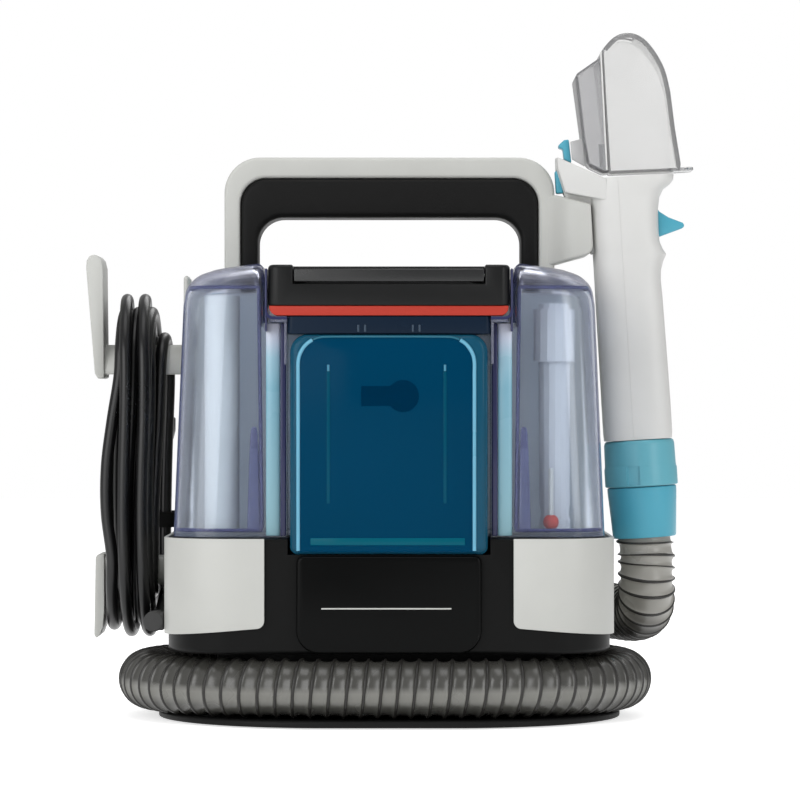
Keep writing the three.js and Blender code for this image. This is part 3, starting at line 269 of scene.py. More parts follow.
def make_object(name, vertices, faces, material, smooth_angle=SHARP):
    mesh = bpy.data.meshes.new(name)
    mesh.from_pydata([Vector(v) * MM for v in vertices], [], faces)
    mesh.validate()
    work = bmesh.new()
    work.from_mesh(mesh)
    bmesh.ops.recalc_face_normals(work, faces=work.faces)
    work.to_mesh(mesh)
    work.free()
    obj = bpy.data.objects.new(name, mesh)
    bpy.context.collection.objects.link(obj)
    mesh.materials.append(material)
    smooth(obj, smooth_angle)
    return obj


def smooth(obj, angle):
    mesh = obj.data
    mesh.polygons.foreach_set("use_smooth", [True] * len(mesh.polygons))
    mesh.set_sharp_from_angle(angle=math.radians(angle))


def twin(obj, name):
    """A copy with a mesh of its own."""
    other = obj.copy()
    other.data = obj.data.copy()
    other.name = name
    bpy.context.collection.objects.link(other)
    return other


def settle(obj):
    """Makes the modifiers part of the mesh."""
    graph = bpy.context.evaluated_depsgraph_get()
    graph.update()
    mesh = bpy.data.meshes.new_from_object(obj.evaluated_get(graph))
    old = obj.data
    obj.modifiers.clear()
    obj.data = mesh
    bpy.data.meshes.remove(old)
    obj.data.name = obj.name
    return obj


def cut(obj, cutter, operation="DIFFERENCE"):
    modifier = obj.modifiers.new("cut", "BOOLEAN")
    modifier.operation = operation
    modifier.solver = "EXACT"
    modifier.object = cutter
    settle(obj)
    bpy.data.objects.remove(cutter)
    return obj


def carve(obj, *boxes):
    """Cuts boxes away, each given by its spans in X, Y and Z."""
    for box in boxes:
        cut(obj, block("cutter", *box))
    return obj


def ease(obj, width, segments, angle=40):
    """Rounds the sharp edges over."""
    modifier = obj.modifiers.new("ease", "BEVEL")
    modifier.width = width * MM
    modifier.segments = segments
    modifier.limit_method = "ANGLE"
    modifier.angle_limit = math.radians(angle)
    modifier.harden_normals = False
    settle(obj)
    smooth(obj, 50)
    return obj


def place(obj, body, nodes, lean=False):
    """Puts a piece on its body, in place of CAD nodes. A leaning piece was made in the tool's own frame."""
    if lean:
        obj.data.transform(TOOL_MATRIX)
    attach(obj, body)
    if nodes:
        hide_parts(*nodes)
    return obj


def loft(name, rings, material, smooth_angle=SHARP, closed=False):
    """Joins rings of equal length. closed joins the last ring to the first."""
    count = len(rings[0])
    vertices = [v for ring in rings for v in ring]
    faces = []
    spans = len(rings) if closed else len(rings) - 1
    for r in range(spans):
        a = r * count
        b = ((r + 1) % len(rings)) * count
        for i in range(count):
            j = (i + 1) % count
            faces.append((a + i, a + j, b + j, b + i))
    if not closed:
        faces.append(tuple(range(count))[::-1])
        faces.append(tuple((len(rings) - 1) * count + i for i in range(count)))
    return make_object(name, vertices, faces, material, smooth_angle)


def arc(cx, cz, radius, start, end, steps):
    points = []
    for i in range(steps + 1):
        angle = math.radians(start + (end - start) * i / steps)
        points.append((cx + radius * math.cos(angle), cz + radius * math.sin(angle)))
    return points


def rounded(x0, x1, y0, y1, radius, steps):
    """A rounded rectangle, counter-clockwise, with the same point count for any size."""
    radius = max(radius, 0.05)
    corners = [(x1 - radius, y1 - radius, 0), (x0 + radius, y1 - radius, 90),
               (x0 + radius, y0 + radius, 180), (x1 - radius, y0 + radius, 270)]
    return [point for cx, cy, start in corners for point in arc(cx, cy, radius, start, start + 90, steps)]


def eased_levels(z0, z1, bottom, top, steps=5):
    """Heights and insets of a wall whose ends are rounded over."""
    levels = []
    for i in range(steps if bottom else 0):
        angle = math.radians(90 * i / steps)
        levels.append((z0 + bottom * (1 - math.cos(angle)), bottom * (1 - math.sin(angle))))
    levels.append((z0 + bottom, 0.0))
    levels.append((z1 - top, 0.0))
    for i in range(1, (steps if top else 0) + 1):
        angle = math.radians(90 * i / steps)
        levels.append((z1 - top * (1 - math.sin(angle)), top * (1 - math.cos(angle))))
    return levels


def box_loft(name, x, y, z, radius, material, bottom, top, steps):
    """An upright rounded box, with its bottom and top edges rounded over."""
    rings = []
    for height, inset in eased_levels(*z, bottom, top):
        outline = rounded(x[0] + inset, x[1] - inset, y[0] + inset, y[1] - inset, radius - inset, steps)
        rings.append([(px, py, height) for px, py in outline])
    return loft(name, rings, material)


def block(name, x, y, z, material=BLACK):
    corners = ((x[0], y[0]), (x[1], y[0]), (x[1], y[1]), (x[0], y[1]))
    return loft(name, [[(px, py, height) for px, py in corners] for height in z], material)


def slab(name, outline, y0, y1, material):
    """An outline drawn in X and Z, pulled out along Y."""
    return loft(name, [[(x, y, z) for x, z in outline] for y in (y0, y1)], material)


def bar_along_x(name, outline, x0, x1, material):
    """An outline drawn in Y and Z, pulled out along X."""
    return loft(name, [[(x, y, z) for y, z in outline] for x in (x0, x1)], material)


def mirrored(outline, side):
    return [(side * x, z) for x, z in outline]


def turned(name, profile, material, steps=72):
    """A closed profile of radius and height, turned about Z."""
    rings = []
    for i in range(steps):
        angle = 2 * math.pi * i / steps
        rings.append([(r * math.cos(angle), r * math.sin(angle), z) for r, z in profile])
    return loft(name, rings, material, closed=True)


def catmull(points, per_span):
    """A smooth line through the points, in equal counts for each span."""
    padded = [points[0] * 2 - points[1], *points, points[-1] * 2 - points[-2]]
    line = []
    for i in range(len(points) - 1):
        line += [catmull_point(padded[i:i + 4], k / per_span) for k in range(per_span)]
    line.append(points[-1].copy())
    return line


def catmull_point(points, share):
    """Centripetal, as the part's own curves are: the knots go by the root of the distance."""
    knots = [0.0]
    for a, b in zip(points, points[1:]):
        knots.append(knots[-1] + max((b - a).length, SHORTEST) ** 0.5)
    at = knots[1] + (knots[2] - knots[1]) * share
    for spans in ([(0, 1), (1, 2), (2, 3)], [(0, 2), (1, 3)], [(1, 2)]):
        mixes = []
        for k, (low, high) in enumerate(spans):
            width = knots[high] - knots[low]
            before = (knots[high] - at) / width
            after = (at - knots[low]) / width
            mixes.append(points[k] * before + points[k + 1] * after)
        points = mixes
    return points[0]


def resample(line, step):
    """Points at equal distances along a line, and the line's length."""
    lengths = [0.0]
    for a, b in zip(line, line[1:]):
        lengths.append(lengths[-1] + (b - a).length)
    count = max(2, round(lengths[-1] / step))
    points = []
    k = 0
    for i in range(count + 1):
        target = lengths[-1] * i / count
        while k < len(line) - 2 and lengths[k + 1] < target:
            k += 1
        span = max(lengths[k + 1] - lengths[k], SHORTEST)
        points.append(line[k].lerp(line[k + 1], (target - lengths[k]) / span))
    return points, lengths[-1]


def line_frames(points):
    """Each point of a line with two directions across it, which turn as little as they can."""
    across = Vector((1, 0, 0))
    result = []
    for i, point in enumerate(points):
        along = (points[min(i + 1, len(points) - 1)] - points[max(i - 1, 0)]).normalized()
        across = (across - along * across.dot(along)).normalized()
        result.append((point, across.copy(), along.cross(across)))
    return result


def circle(centre, across, up, radius, sides):
    angles = [2 * math.pi * i / sides for i in range(sides)]
    return [centre + (across * math.cos(a) + up * math.sin(a)) * radius for a in angles]


def tube(name, points, radius, sides, material):
    rings = [circle(*framed, radius, sides) for framed in line_frames(points)]
    return loft(name, rings, material, 60)


# ---------------------------------------------------------------- base and housing
# Spans in X, Y and Z, and the radius of the upright corners.
BASE_X, BASE_Y, BASE_Z, BASE_CORNER = (-134, 134), (-109, 109), (0.8, 4.6), 98
CORE_X, CORE_Y, CORE_Z, CORE_CORNER = (-100, 100), (-67, 67), (4.9, 43), 50
HOUSING_X, HOUSING_Y, HOUSING_Z, HOUSING_CORNER = (-126, 126), (-94, 72), (41, 106), 38
PANEL_WALL = 2.4                 # the white panels stand this far out of the housing
PANEL_GAP = 0.3
TOWER_X, TOWER_Y, TOWER_Z, TOWER_CORNER = (-118, 118), (0, 72), (106.3, 252), 20
TOWER_WELLS = [                  # rooms for the vent cover, for the air behind it and for the button
    ((-78, 78), (69.3, 80), (122, 228)),
    ((-74, 74), (64, 70), (126, 224)),
    ((-114, -98.5), (20, 44), (243, 260)),
]


def build_base():
    plate = box_loft("base_skid", BASE_X, BASE_Y, BASE_Z, BASE_CORNER, SOFT_BLACK, 0.8, 1.4, 24)
    place(plate, "chassis", ["base_plate"])
    core = box_loft("housing_core", CORE_X, CORE_Y, CORE_Z, CORE_CORNER, BLACK, 0.5, 0, 20)
    place(core, "chassis", ["chassis_housing"])
    upper = box_loft("housing_upper", HOUSING_X, HOUSING_Y, HOUSING_Z, HOUSING_CORNER, BLACK, 3.0, 1.5, 16)
    carve(upper, ((-57, 57), (-101, -49), (97, 107)))
    smooth(upper, 30)
    place(upper, "chassis", ["chassis_housing", "housing_deck"])


def build_front_panel():
    half, foot, head = 52, 41.5, 96.6
    corners = [(-1, foot, 13, 180, 14), (1, foot, 13, 270, 14), (1, head, 4, 0, 6), (-1, head, 4, 90, 6)]
    outline = []
    for side, z, radius, start, steps in corners:
        inward = radius if z == foot else -radius
        outline += arc(side * (half - radius), z + inward, radius, start, start + 90, steps)
    panel = slab("badge_panel", outline, -98.6, -94.3, BLACK_PANEL)
    ease(panel, 2.2, 6)
    place(panel, "chassis", ["front_panel"])
    line = box_loft("badge_line", (-38, 35), (-98.75, -98.2), (66.6, 67.4), 0.24, WHITE, 0.1, 0.1, 3)
    place(line, "chassis", [])


def round_housing(name, grow, z):
    """The housing's outline, grown by a distance."""
    x, y = ((low - grow, high + grow) for low, high in (HOUSING_X, HOUSING_Y))
    return box_loft(name, x, y, z, HOUSING_CORNER + grow, WHITE, 0, 0, 16)


def build_side_panels():
    left = round_housing("left_side_panel", PANEL_WALL, (44, 106))
    cut(left, round_housing("panel_inner", PANEL_GAP, (40, 110)))
    outline = [(-140, 106.2), (-70, 106.2), (-70, 60), *arc(-74.5, 60, 4.5, 0, -80, 6), (-122, 51.5),
               (-140, 50.5)]
    cut(left, slab("panel_window", outline, -120, 56, WHITE), "INTERSECT")
    ease(left, 0.7, 3, 50)
    right = twin(left, "right_side_panel")
    right.data.transform(Matrix.Scale(-1, 4, (1, 0, 0)))
    right.data.flip_normals()
    place(left, "chassis", ["left_panel"])
    place(right, "chassis", ["right_panel"])


def build_tower():
    tower = box_loft("tower_shell", TOWER_X, TOWER_Y, TOWER_Z, TOWER_CORNER, WHITE, 0.5, 4, 14)
    carve(tower, *TOWER_WELLS)
    smooth(tower, 30)
    place(tower, "chassis", ["rear_tower"])
    # A black plate behind the vent slots: painted shade, so that the slots look dark and deep
    vent_shade = box_loft("vent_shade_plate", (-73.6, 73.6), (64.3, 65.3), (126.4, 223.6), 0.4, SOFT_BLACK,
                       0.2, 0.2, 3)
    place(vent_shade, "chassis", [])


# ---------------------------------------------------------------- handle and dock
ARCH_FOOT = 252.3


def arch_outline(half_x, top, radius):
    return [(half_x, ARCH_FOOT), *arc(half_x - radius, top - radius, radius, 0, 90, 14),
            *arc(-half_x + radius, top - radius, radius, 90, 180, 14), (-half_x, ARCH_FOOT)]


def arch(name, outer, inner, depths, material, width):
    """An upside-down U between two outlines of equal count."""
    vertices = []
    faces = []
    count = len(outer)
    for y in depths:
        vertices += [(x, y, z) for x, z in outer]
        vertices += [(x, y, z) for x, z in inner]
    back = 2 * count
    for i in range(count - 1):
        faces.append((i, i + 1, count + i + 1, count + i))
        faces.append((back + i, back + count + i, back + count + i + 1, back + i + 1))
        faces.append((i, back + i, back + i + 1, i + 1))
        faces.append((count + i, count + i + 1, back + count + i + 1, back + count + i))
    for i in (0, count - 1):
        faces.append((i, count + i, back + count + i, back + i))
    obj = make_object(name, vertices, faces, material)
    return ease(obj, width, 5)


def build_handle():
    white = arch("handle_arch", arch_outline(97, 326.6, 21), arch_outline(87.5, 314.4, 15), (8, 42),
                 WHITE, 2.2)
    place(white, "chassis", ["handle_frame"])
    black = arch("handle_inner_grip", arch_outline(87.2, 314.1, 15), arch_outline(77.2, 291.1, 15),
                 (6.5, 43.5), SOFT_BLACK, 3.6)
    place(black, "chassis", ["handle_grip"])


LEAN = math.radians(3.5)
TOOL_ORIGIN = Vector((150.4, 15, 103.3))
TOOL_MATRIX = Matrix.Translation(TOOL_ORIGIN * MM) @ Matrix.Rotation(-LEAN, 4, "Y")


def tool_point(x, z):
    """A point of the tool's own frame, in X and Z of the whole."""
    return (TOOL_ORIGIN.x + x * math.cos(LEAN) - z * math.sin(LEAN),
            TOOL_ORIGIN.z + z * math.cos(LEAN) + x * math.sin(LEAN))


FIN_EDGE = [(-21.6, 156), (-35.3, 204.1), (-39.1, 219.1)]

# Places along the dock bracket: X, then its front, back, underside and top.
DOCK_SECTIONS = [
    (88, 10.0, 30.0, 262.0, 300.0), (91, 8.9, 30.4, 262.4, 302.2), (94, 7.7, 30.8, 262.8, 304.0),
    (97, 5.8, 31.0, 263.5, 304.4), (100, 3.4, 31.0, 264.2, 303.7), (103, 1.2, 31.0, 265.1, 302.9),
    (106, -0.3, 31.0, 265.9, 302.1), (109, -0.9, 31.0, 266.7, 301.3), (112, -1.0, 31.0, 267.5, 300.5),
    (115, -1.0, 31.0, 268.3, 299.8), (117, -0.9, 30.9, 269.6, 299.2), (118.4, -0.6, 30.6, 271.4, 298.2),
    (119.3, 0.2, 29.8, 273.8, 296.4),
]


def build_dock():
    """The bracket beside the handle, cut to the tool's fin and back."""
    rings = []
    for x, *section in DOCK_SECTIONS:
        rings.append([(x, y, z) for y, z in rounded(*section, 2.2, 5)])
    dock = loft("dock_bracket", rings, WHITE)
    edge = [tool_point(*p) for p in FIN_EDGE]
    slot = [(x - 0.4, z) for x, z in edge] + [(edge[2][0], 345), (140, 345), (140, edge[0][1])]
    cut(dock, slab("dock_slot", slot[::-1], 7.5, 22.5, WHITE))
    rest = [tool_point(*p) for p in ((-20.7, 100), (60, 100), (60, 260), (-20.7, 260))]
    cut(dock, slab("dock_rest", rest, -20, 50, WHITE))
    ease(dock, 0.5, 2, 60)
    place(dock, "chassis", ["tool_dock"])


# ---------------------------------------------------------------- recovery tank and lid
SIDES = ((-1, "left"), (1, "right"))
LOBE_INNER, LOBE_OUTER = 69.7, 123
LOBE_FRONT = -84
TANK_BACK = -3.6
LOBE_RADIUS = 26                 # the lobe's outer front corner; the other three are LOBE_NIP
LOBE_NIP = 3
BRIDGE_X = 73.7                  # the middle of the tank reaches this far into the lobes
BRIDGE_FRONT = -48
CHEEK_X = 57.7
# Slices up one lobe: how far below its top, and how far the outer side, the front and the
# other two sides have come in there.
LOBE_SLICES = [(19, 5.6, 0.8, 0), (9, 7.6, 2.6, 0), (3, 13, 7.6, 1.4), (0, 22, 18, 4)]
LOBE_RISE = 4.6                  # how much higher the lobe's top stands beside the lid
CROWN_FOOT = 247.8
CROWN_HEIGHT = 8
CORNER_STEPS = 12


def crown_lift(x, height):
    """The lobe's top slopes up toward the lid."""
    share = min(max((height - CROWN_FOOT) / CROWN_HEIGHT, 0), 1)
    inward = min(max((112 - abs(x)) / 38, 0), 1)
    return LOBE_RISE * share * inward


def lobe_ring(inset, side, height, outer_in, front_in, rest):
    """Outline of one lobe of the recovery tank."""
    inner = LOBE_INNER + inset + rest
    outer = LOBE_OUTER - inset - outer_in
    front = LOBE_FRONT + inset + front_in
    back = TANK_BACK - inset - rest
    big = LOBE_RADIUS - inset
    corners = [(outer - LOBE_NIP, back - LOBE_NIP, LOBE_NIP, 0),
               (inner + LOBE_NIP, back - LOBE_NIP, LOBE_NIP, 90),
               (inner + LOBE_NIP, front + LOBE_NIP, LOBE_NIP, 180),
               (outer - big, front + big, big, 270)]
    points = []
    for cx, cy, radius, start in corners:
        for x, y in arc(cx, cy, radius, start, start + 90, CORNER_STEPS):
            points.append((x, y, height + crown_lift(x, height)))
    if side < 0:
        points = [(-x, y, z) for x, y, z in points][::-1]
    return points


def lobe_volume(inset, z0, z1, side):
    slices = catmull([Vector((z1 - drop, *ins)) for drop, *ins in LOBE_SLICES], 4)
    rings = [lobe_ring(inset, side, z0, 0, 0, 0)]
    rings += [lobe_ring(inset, side, *place_in) for place_in in slices]
    return loft("lobe", rings, CLEAR_GREY)


def tank_volume(name, inset, bottom, lobe_top, bridge_top):
    """Two lobes, the bridge between them behind the clean tank, and a cheek on each side of that tank."""
    z = (bottom, bridge_top)
    back = TANK_BACK - inset
    volume = block(name, (-BRIDGE_X, BRIDGE_X), (BRIDGE_FRONT + inset, back), z, CLEAR_GREY)
    for side, _ in SIDES:
        x = sorted((side * (CHEEK_X + inset), side * BRIDGE_X))
        cut(volume, block("cheek", x, (LOBE_FRONT + inset, back), z), "UNION")
        cut(volume, lobe_volume(inset, bottom, lobe_top, side), "UNION")
    return volume


def lobe_rib(side, word):
    """A tapered rib behind the lobe's front wall, with its top rounded over."""
    profile = [(109.6, 72.6, 80.2, -66), (150, 73.4, 79.0, -74), (163, 73.9, 78.4, -76.6),
               (167, 74.3, 78.0, -78), (168.8, 75.2, 77.2, -79.6)]
    rings = []
    for z, x0, x1, back in profile:
        rings.append([(side * x, y, z) for x, y in rounded(x0, x1, -81.5, back, 0.9, 4)])
    place(loft(f"lobe_rib_{word}", rings, CLEAR_RIB), "recovery", [])


def rim_loop(side):
    """The closed line that runs round a lobe's front wall."""
    foot_z, top_z = 110.4, 247.6
    low = lobe_ring(0.9, side, foot_z, 0.3, 0, 0)
    high = lobe_ring(0.9, side, top_z, 7.7, 2.7, 0)
    if side < 0:
        low, high = low[::-1], high[::-1]
    corner = slice(39, 50)        # round the outer front corner, but for its last stretch
    top = [Vector(p) for p in high[corner]]
    foot = [Vector(p) for p in low[corner]]
    inner_top = Vector((side * 73.6, top[0].y, top_z))
    inner_foot = Vector((side * 71.6, foot[0].y, foot_z))
    sides = [foot[-1].lerp(top[-1], k / 8) for k in range(1, 8)]
    loop = [inner_top, *top, *sides[::-1], *foot[::-1], inner_foot]
    loop += [inner_foot.lerp(inner_top, k / 8) for k in range(1, 8)]
    return resample([*loop, inner_top], 2.5)[0][:-1]


def rim_bead(side, word):
    """The thick rounded line round a lobe's front wall."""
    points = rim_loop(side)
    rings = []
    for i, point in enumerate(points):
        along = (points[(i + 1) % len(points)] - points[i - 1]).normalized()
        out = along.cross(Vector((side, -1, 0))).normalized()
        rings.append(circle(point, out, along.cross(out), 1.05, 10))
    bead = loft(f"lobe_rim_{word}", rings, CLEAR_RIB, 60, closed=True)
    place(bead, "recovery", [])


def lid_cheek(side, word):
    """The tank's clear wall beside the lid, and a dark line round the lower corner of the lid's seal: partly
    the tank's dark clear wall, and partly painted shade in the gap under the seal.
    """
    wall = [(68.5, 222.5), (69.6, 222.5), (69.6, 257.2), (69.2, 258.0), (68.5, 257.8)]
    cheek = slab(f"lid_cheek_{word}", mirrored(wall, side), -96, -78, VIOLET_DARK)
    ease(cheek, 0.35, 2, 40)
    place(cheek, "recovery", [])
    hook = [(57.2, 229.2), (65.8, 229.2), (68.2, 230.4), (69.4, 232.6), (69.6, 236), (68.5, 236),
            (68.2, 233.4), (67.2, 231.7), (65.2, 230.8), (57.2, 230.8)]
    seal_shade = slab(f"lid_seal_shade_{word}", mirrored(hook, side), -97.3, -95.8, VIOLET_DARK)
    place(seal_shade, "recovery", [])


def lobe_trim(side, word):
    """A half-round teal strip beside the clean tank, with a dark edge."""
    z = (107.4, 227.2)
    middle, half_width, depth, back, front = 65.4, 4.0, 1.7, -84.3, -84.9
    rings = []
    for height, inset in eased_levels(*z, 0.6, 0.6, 3):
        section = [(middle - half_width + inset, back), (middle + half_width - inset, back)]
        section += [(middle + (half_width - inset) * math.cos(a), front - (depth - inset) * math.sin(a))
                    for a in (math.radians(15 * k) for k in range(13))]
        rings.append([(side * x, y, height) for x, y in section])
    trim = loft(f"teal_trim_{word}", rings, STRIP_TEAL, 60)
    x = sorted((side * 58.0, side * 61.1))
    edge = box_loft(f"trim_dark_edge_{word}", x, (-86.4, back), z, 0.8, VIOLET_DARK, 0.5, 0.5, 4)
    for piece in (trim, edge):
        place(piece, "recovery", [f"lobe_trim_{word}"])


def paint_crown_shade(tank):
    """The lobes' rounded tops get a darker copy of the tank's clear plastic: painted shade."""
    tank.data.materials.append(CROWN_PAINTED_SHADE)
    heights = [vertex.co.z for vertex in tank.data.vertices]
    for face in tank.data.polygons:
        if min(heights[i] for i in face.vertices) > CROWN_FOOT * MM:
            face.material_index = 1


def build_recovery_tank():
    tank = tank_volume("recovery_tank_shell", 0.0, 106.6, 257, 227.5)
    cut(tank, tank_volume("hollow", 2.2, 109.2, 254.6, 225.3))
    carve(tank, ((-50, 50), (-41, -11), (215, 235)))
    smooth(tank, 30)
    paint_crown_shade(tank)
    place(tank, "recovery", ["recovery_tank"])
    # A pale column inside the left lobe: a painted highlight, for the bright band where the lobe's curved
    # front corner reflects the softbox
    highlight_column = box_loft("lobe_highlight_column", (-105, -85), (-72, -52), (110, 244), 9.9, PALE_HIGHLIGHT_COLUMN, 0.8, 0.8, 16)
    place(highlight_column, "recovery", [])
    for side, word in SIDES:
        lobe_rib(side, word)
        rim_bead(side, word)
        lid_cheek(side, word)
        lobe_trim(side, word)


def bail():
    """The lid's carrying bar with its two arms, bored for the hinge pins."""
    centre_y, centre_z, radius = -74, 254, 3.6
    bar = block("lid_carry_bar", (-53.4, 53.4), (-97.6, -86), (250.4, 257.6), BAIL_BLACK)
    arm = [(-90, centre_z - radius), *arc(centre_y, centre_z, radius, -90, 90, 12), (-90, centre_z + radius)]
    for x0, x1 in ((-53.4, -46), (46, 53.4)):
        cut(bar, bar_along_x("arm", arm, x0, x1, BAIL_BLACK), "UNION")
    ease(bar, 2.1, 4, 40)
    bore = arc(centre_y, centre_z, 2.05, 0, 345, 23)
    cut(bar, bar_along_x("bore", bore, -60, 60, BAIL_BLACK))
    smooth(bar, 40)
    return bar


def build_lid():
    lid = box_loft("lid_bar", (-68, 68), (-98, -5), (237.2, 260), 6, LID_BLACK, 0.6, 2.4, 8)
    carve(lid, ((-54, 54), (-104, -66), (249, 270)))
    ease(lid, 0.9, 3, 60)
    place(lid, "lid", ["tank_lid"])
    place(bail(), "lid_bail", ["lid_handle"])
    end = [*arc(62.4, 236.2, 4.8, -90, 0, 6), (67.2, 236.9)]
    seal = slab("lid_seal_ring", mirrored(end[::-1], -1) + end, -97.2, -5.6, RED)
    ease(seal, 0.5, 2, 60)
    place(seal, "lid", ["lid_seal"])


def build_tank_rim():
    band = box_loft("tank_rim_band", (-57, 57), (-96.5, -48.3), (221.2, 231.0), 3, NAVY, 0.5, 0.5, 6)
    place(band, "recovery", ["tank_rim"])
    for x in (-17.2, -13.4, 13.4, 17.2):
        name = f"rim_clip_{'left' if x < 0 else 'right'}_{abs(x):.0f}"
        clip = box_loft(name, (x - 0.6, x + 0.6), (-96.9, -96.2), (222.2, 226.2), 0.3, NAVY_LIT, 0.2, 0.2, 3)
        place(clip, "recovery", [])
    flange = box_loft("tank_rim_flange", (-67.6, 67.6), (-96.5, -4), (227.9, 231.1), 5, CLEAR_FLANGE,
                      0.6, 0.6, 8)
    carve(flange, ((-57.3, 57.3), (-100, -48), (220, 240)), ((-50, 50), (-41, -11), (220, 240)))
    place(flange, "recovery", ["tank_rim"])
    for side, word in SIDES:
        x = sorted((side * 57.4, side * 58.8))
        post = box_loft(f"rim_corner_post_{word}", x, (-96.2, -84.4), (204, 227.8), 0.6, CLEAR_FLANGE,
                        0.4, 0.4, 4)
        place(post, "recovery", [])


# ---------------------------------------------------------------- clean tank
WINDOW = {"left": -50.9, "right": 47.9, "top": 219.4, "corner": 15.0, "y": -98.15}


def front_bead(name, outline, radius, material):
    """A thin bead on the window, along a line drawn in X and Z."""
    points = [Vector((x, WINDOW["y"], z)) for x, z in outline]
    bead = tube(name, resample(catmull(points, 8), 1.2)[0], radius, 10, material)
    place(bead, "clean_water", [])


def front_band(name, x, z, material):
    """A flat line, a hair proud of the window."""
    band = box_loft(name, x, (-98.5, -98.0), z, 0.24, material, 0.2, 0.2, 3)
    place(band, "clean_water", [])


def window_bend(word, start, end, steps):
    """Part of a top corner of the window's outline, from the upright end on."""
    side = -1 if word == "left" else 1
    corner = WINDOW["corner"]
    centre = WINDOW[word] - side * corner
    return [(centre + side * x, z) for x, z in arc(0, WINDOW["top"] - corner, corner, start, end, steps)]


def build_window():
    """The raised front face of the clean tank, with its lit edges and inner ribs."""
    outline = [(WINDOW["left"], 98.6), (WINDOW["right"], 98.6), *window_bend("right", 0, 90, 16),
               *window_bend("left", 0, 90, 16)[::-1]]
    window = slab("clean_tank_window", outline, -98.3, -97.5, CLEAR_BLUE)
    ease(window, 0.3, 2, 60)
    place(window, "clean_water", ["clean_tank"])
    for word, rib in (("left", -34), ("right", 31.4)):
        edge = [(WINDOW[word], z) for z in (99.4, 120, 150, 180, 198)] + window_bend(word, 0, 62, 6)
        front_bead(f"tank_edge_{word}", edge, 1.1, CYAN_EDGE)
        front_band(f"tank_inner_rib_{word}", (rib - 0.9, rib + 0.9), (126, 200), BLUE_BAND)
        front_bead(f"tank_rib_glint_{word}", [(rib, z) for z in (200.2, 202, 203.8)], 0.75, BLUE_LIT)
    crown = window_bend("left", 64, 90, 4) + window_bend("right", 64, 90, 4)[::-1]
    front_bead("tank_top_line", crown, 0.6, TEAL_LINE)
    outline = [(-15.5, 180.6), *arc(7.9, 186.2, 9, -142, 142, 20), (-15.5, 191.8)]
    shade = slab("tank_valve_shade", outline, -98.44, -98.2, BLUE_DEEP)
    place(shade, "clean_water", [])
    front_band("tank_foot_band", (-44, 42.6), (102.6, 106.6), BLUE_FOOT)


def tank_outline(half, bottom, top, radius, steps):
    """Square at the foot, rounded at the top."""
    return [(-half, bottom), (half, bottom), *arc(half - radius, top - radius, radius, 0, 90, steps),
            *arc(radius - half, top - radius, radius, 90, 180, steps)]


def build_clean_tank():
    tank = slab("clean_tank_shell", tank_outline(55.5, 97.3, 220.9, 10, 12), -98, -50, BLUE_FLANGE)
    ease(tank, 4.2, 6)
    hollow = slab("clean_hollow", tank_outline(53.3, 99.5, 218.7, 8, 10), -95.8, -52.2, BLUE_FLANGE)
    ease(hollow, 2.6, 4)
    cut(tank, hollow)
    smooth(tank, 30)
    place(tank, "clean_water", ["clean_tank"])
    build_window()


# ---------------------------------------------------------------- tool
# Heights along the tool, with its left edge, right edge and half depth.
TOOL_SECTIONS = [
    (57.6, -20.3, 19.4, 18), (62, -20.6, 19.8, 18), (80, -20.6, 19.8, 18), (110, -20.5, 19.4, 18),
    (140, -20.4, 18.9, 18), (150, -20.3, 18.5, 18), (156, -20.3, 18.9, 18), (161, -20.3, 20.4, 18),
    (165.5, -20.3, 22.6, 17.6), (169, -20.3, 20.6, 17.6), (173, -20.3, 19.2, 18), (180, -20.3, 19, 18),
    (192, -20.3, 19.4, 18), (199, -20.3, 20.6, 18), (203.5, -20.3, 23, 18), (206.5, -19.8, 27.4, 18),
    (209, -18.6, 29.4, 18), (212, -16.6, 29.8, 17.6),
]
SEAM_X = -4                      # where the two grip shells meet
SEAM_GAP = 0.03
RING_POINTS = 56
RING_POWER = 2 / 3.2             # 1 makes an oval, and less makes it squarer
FIN = [(-21.6, 168), (-17, 168), (-16.9, 205), (-12.4, 212.4), (-39, 226.2), (-39.1, 219.1), (-35.3, 204.1)]
CREST = [(-10.5, 198.4), (-10.5, 211.2), (-38.6, 225.8), (-38.7, 219.1), (-35.2, 204.6)]
TRIGGER = [(12.6, 175.4), (18, 175.6), (33.4, 180.2), (34.2, 181.6), (33.4, 183.2), (25, 187.0), (20, 190.6),
           (16.6, 195.6), (13, 195.4)]
LATCH_CLIP = [(-34.0, 224.6), (-29.9, 222.4), (-30.6, 236.2), (-33.4, 236.0), (-36.9, 233.2), (-36.7, 231.4),
              (-34.4, 230.8)]
COLLAR = [(13, 30.2), (20.8, 30.2), (21.4, 30.8), (21.4, 40.6), (21.0, 41.6), (20.9, 43), (20.7, 54.6),
          (20.2, 56.4), (19.2, 57.2), (13, 57.2)]
CUFF = [(17.4, 0.4), (17.8, 0), (18.3, 0.2), (18.7, 1.2), (20.3, 27), (20.3, 29.2), (19.8, 29.8), (13, 29.8),
        (13, 12), (17.4, 12)]


def super_ring(height, left, right, half_y):
    """A ring between an oval and a rectangle."""
    middle = (left + right) / 2
    half_x = (right - left) / 2
    points = []
    for i in range(RING_POINTS):
        angle = 2 * math.pi * i / RING_POINTS
        x, y = (math.copysign(abs(wave) ** RING_POWER, wave) for wave in (math.cos(angle), math.sin(angle)))
        points.append((middle + half_x * x, half_y * y, height))
    return points


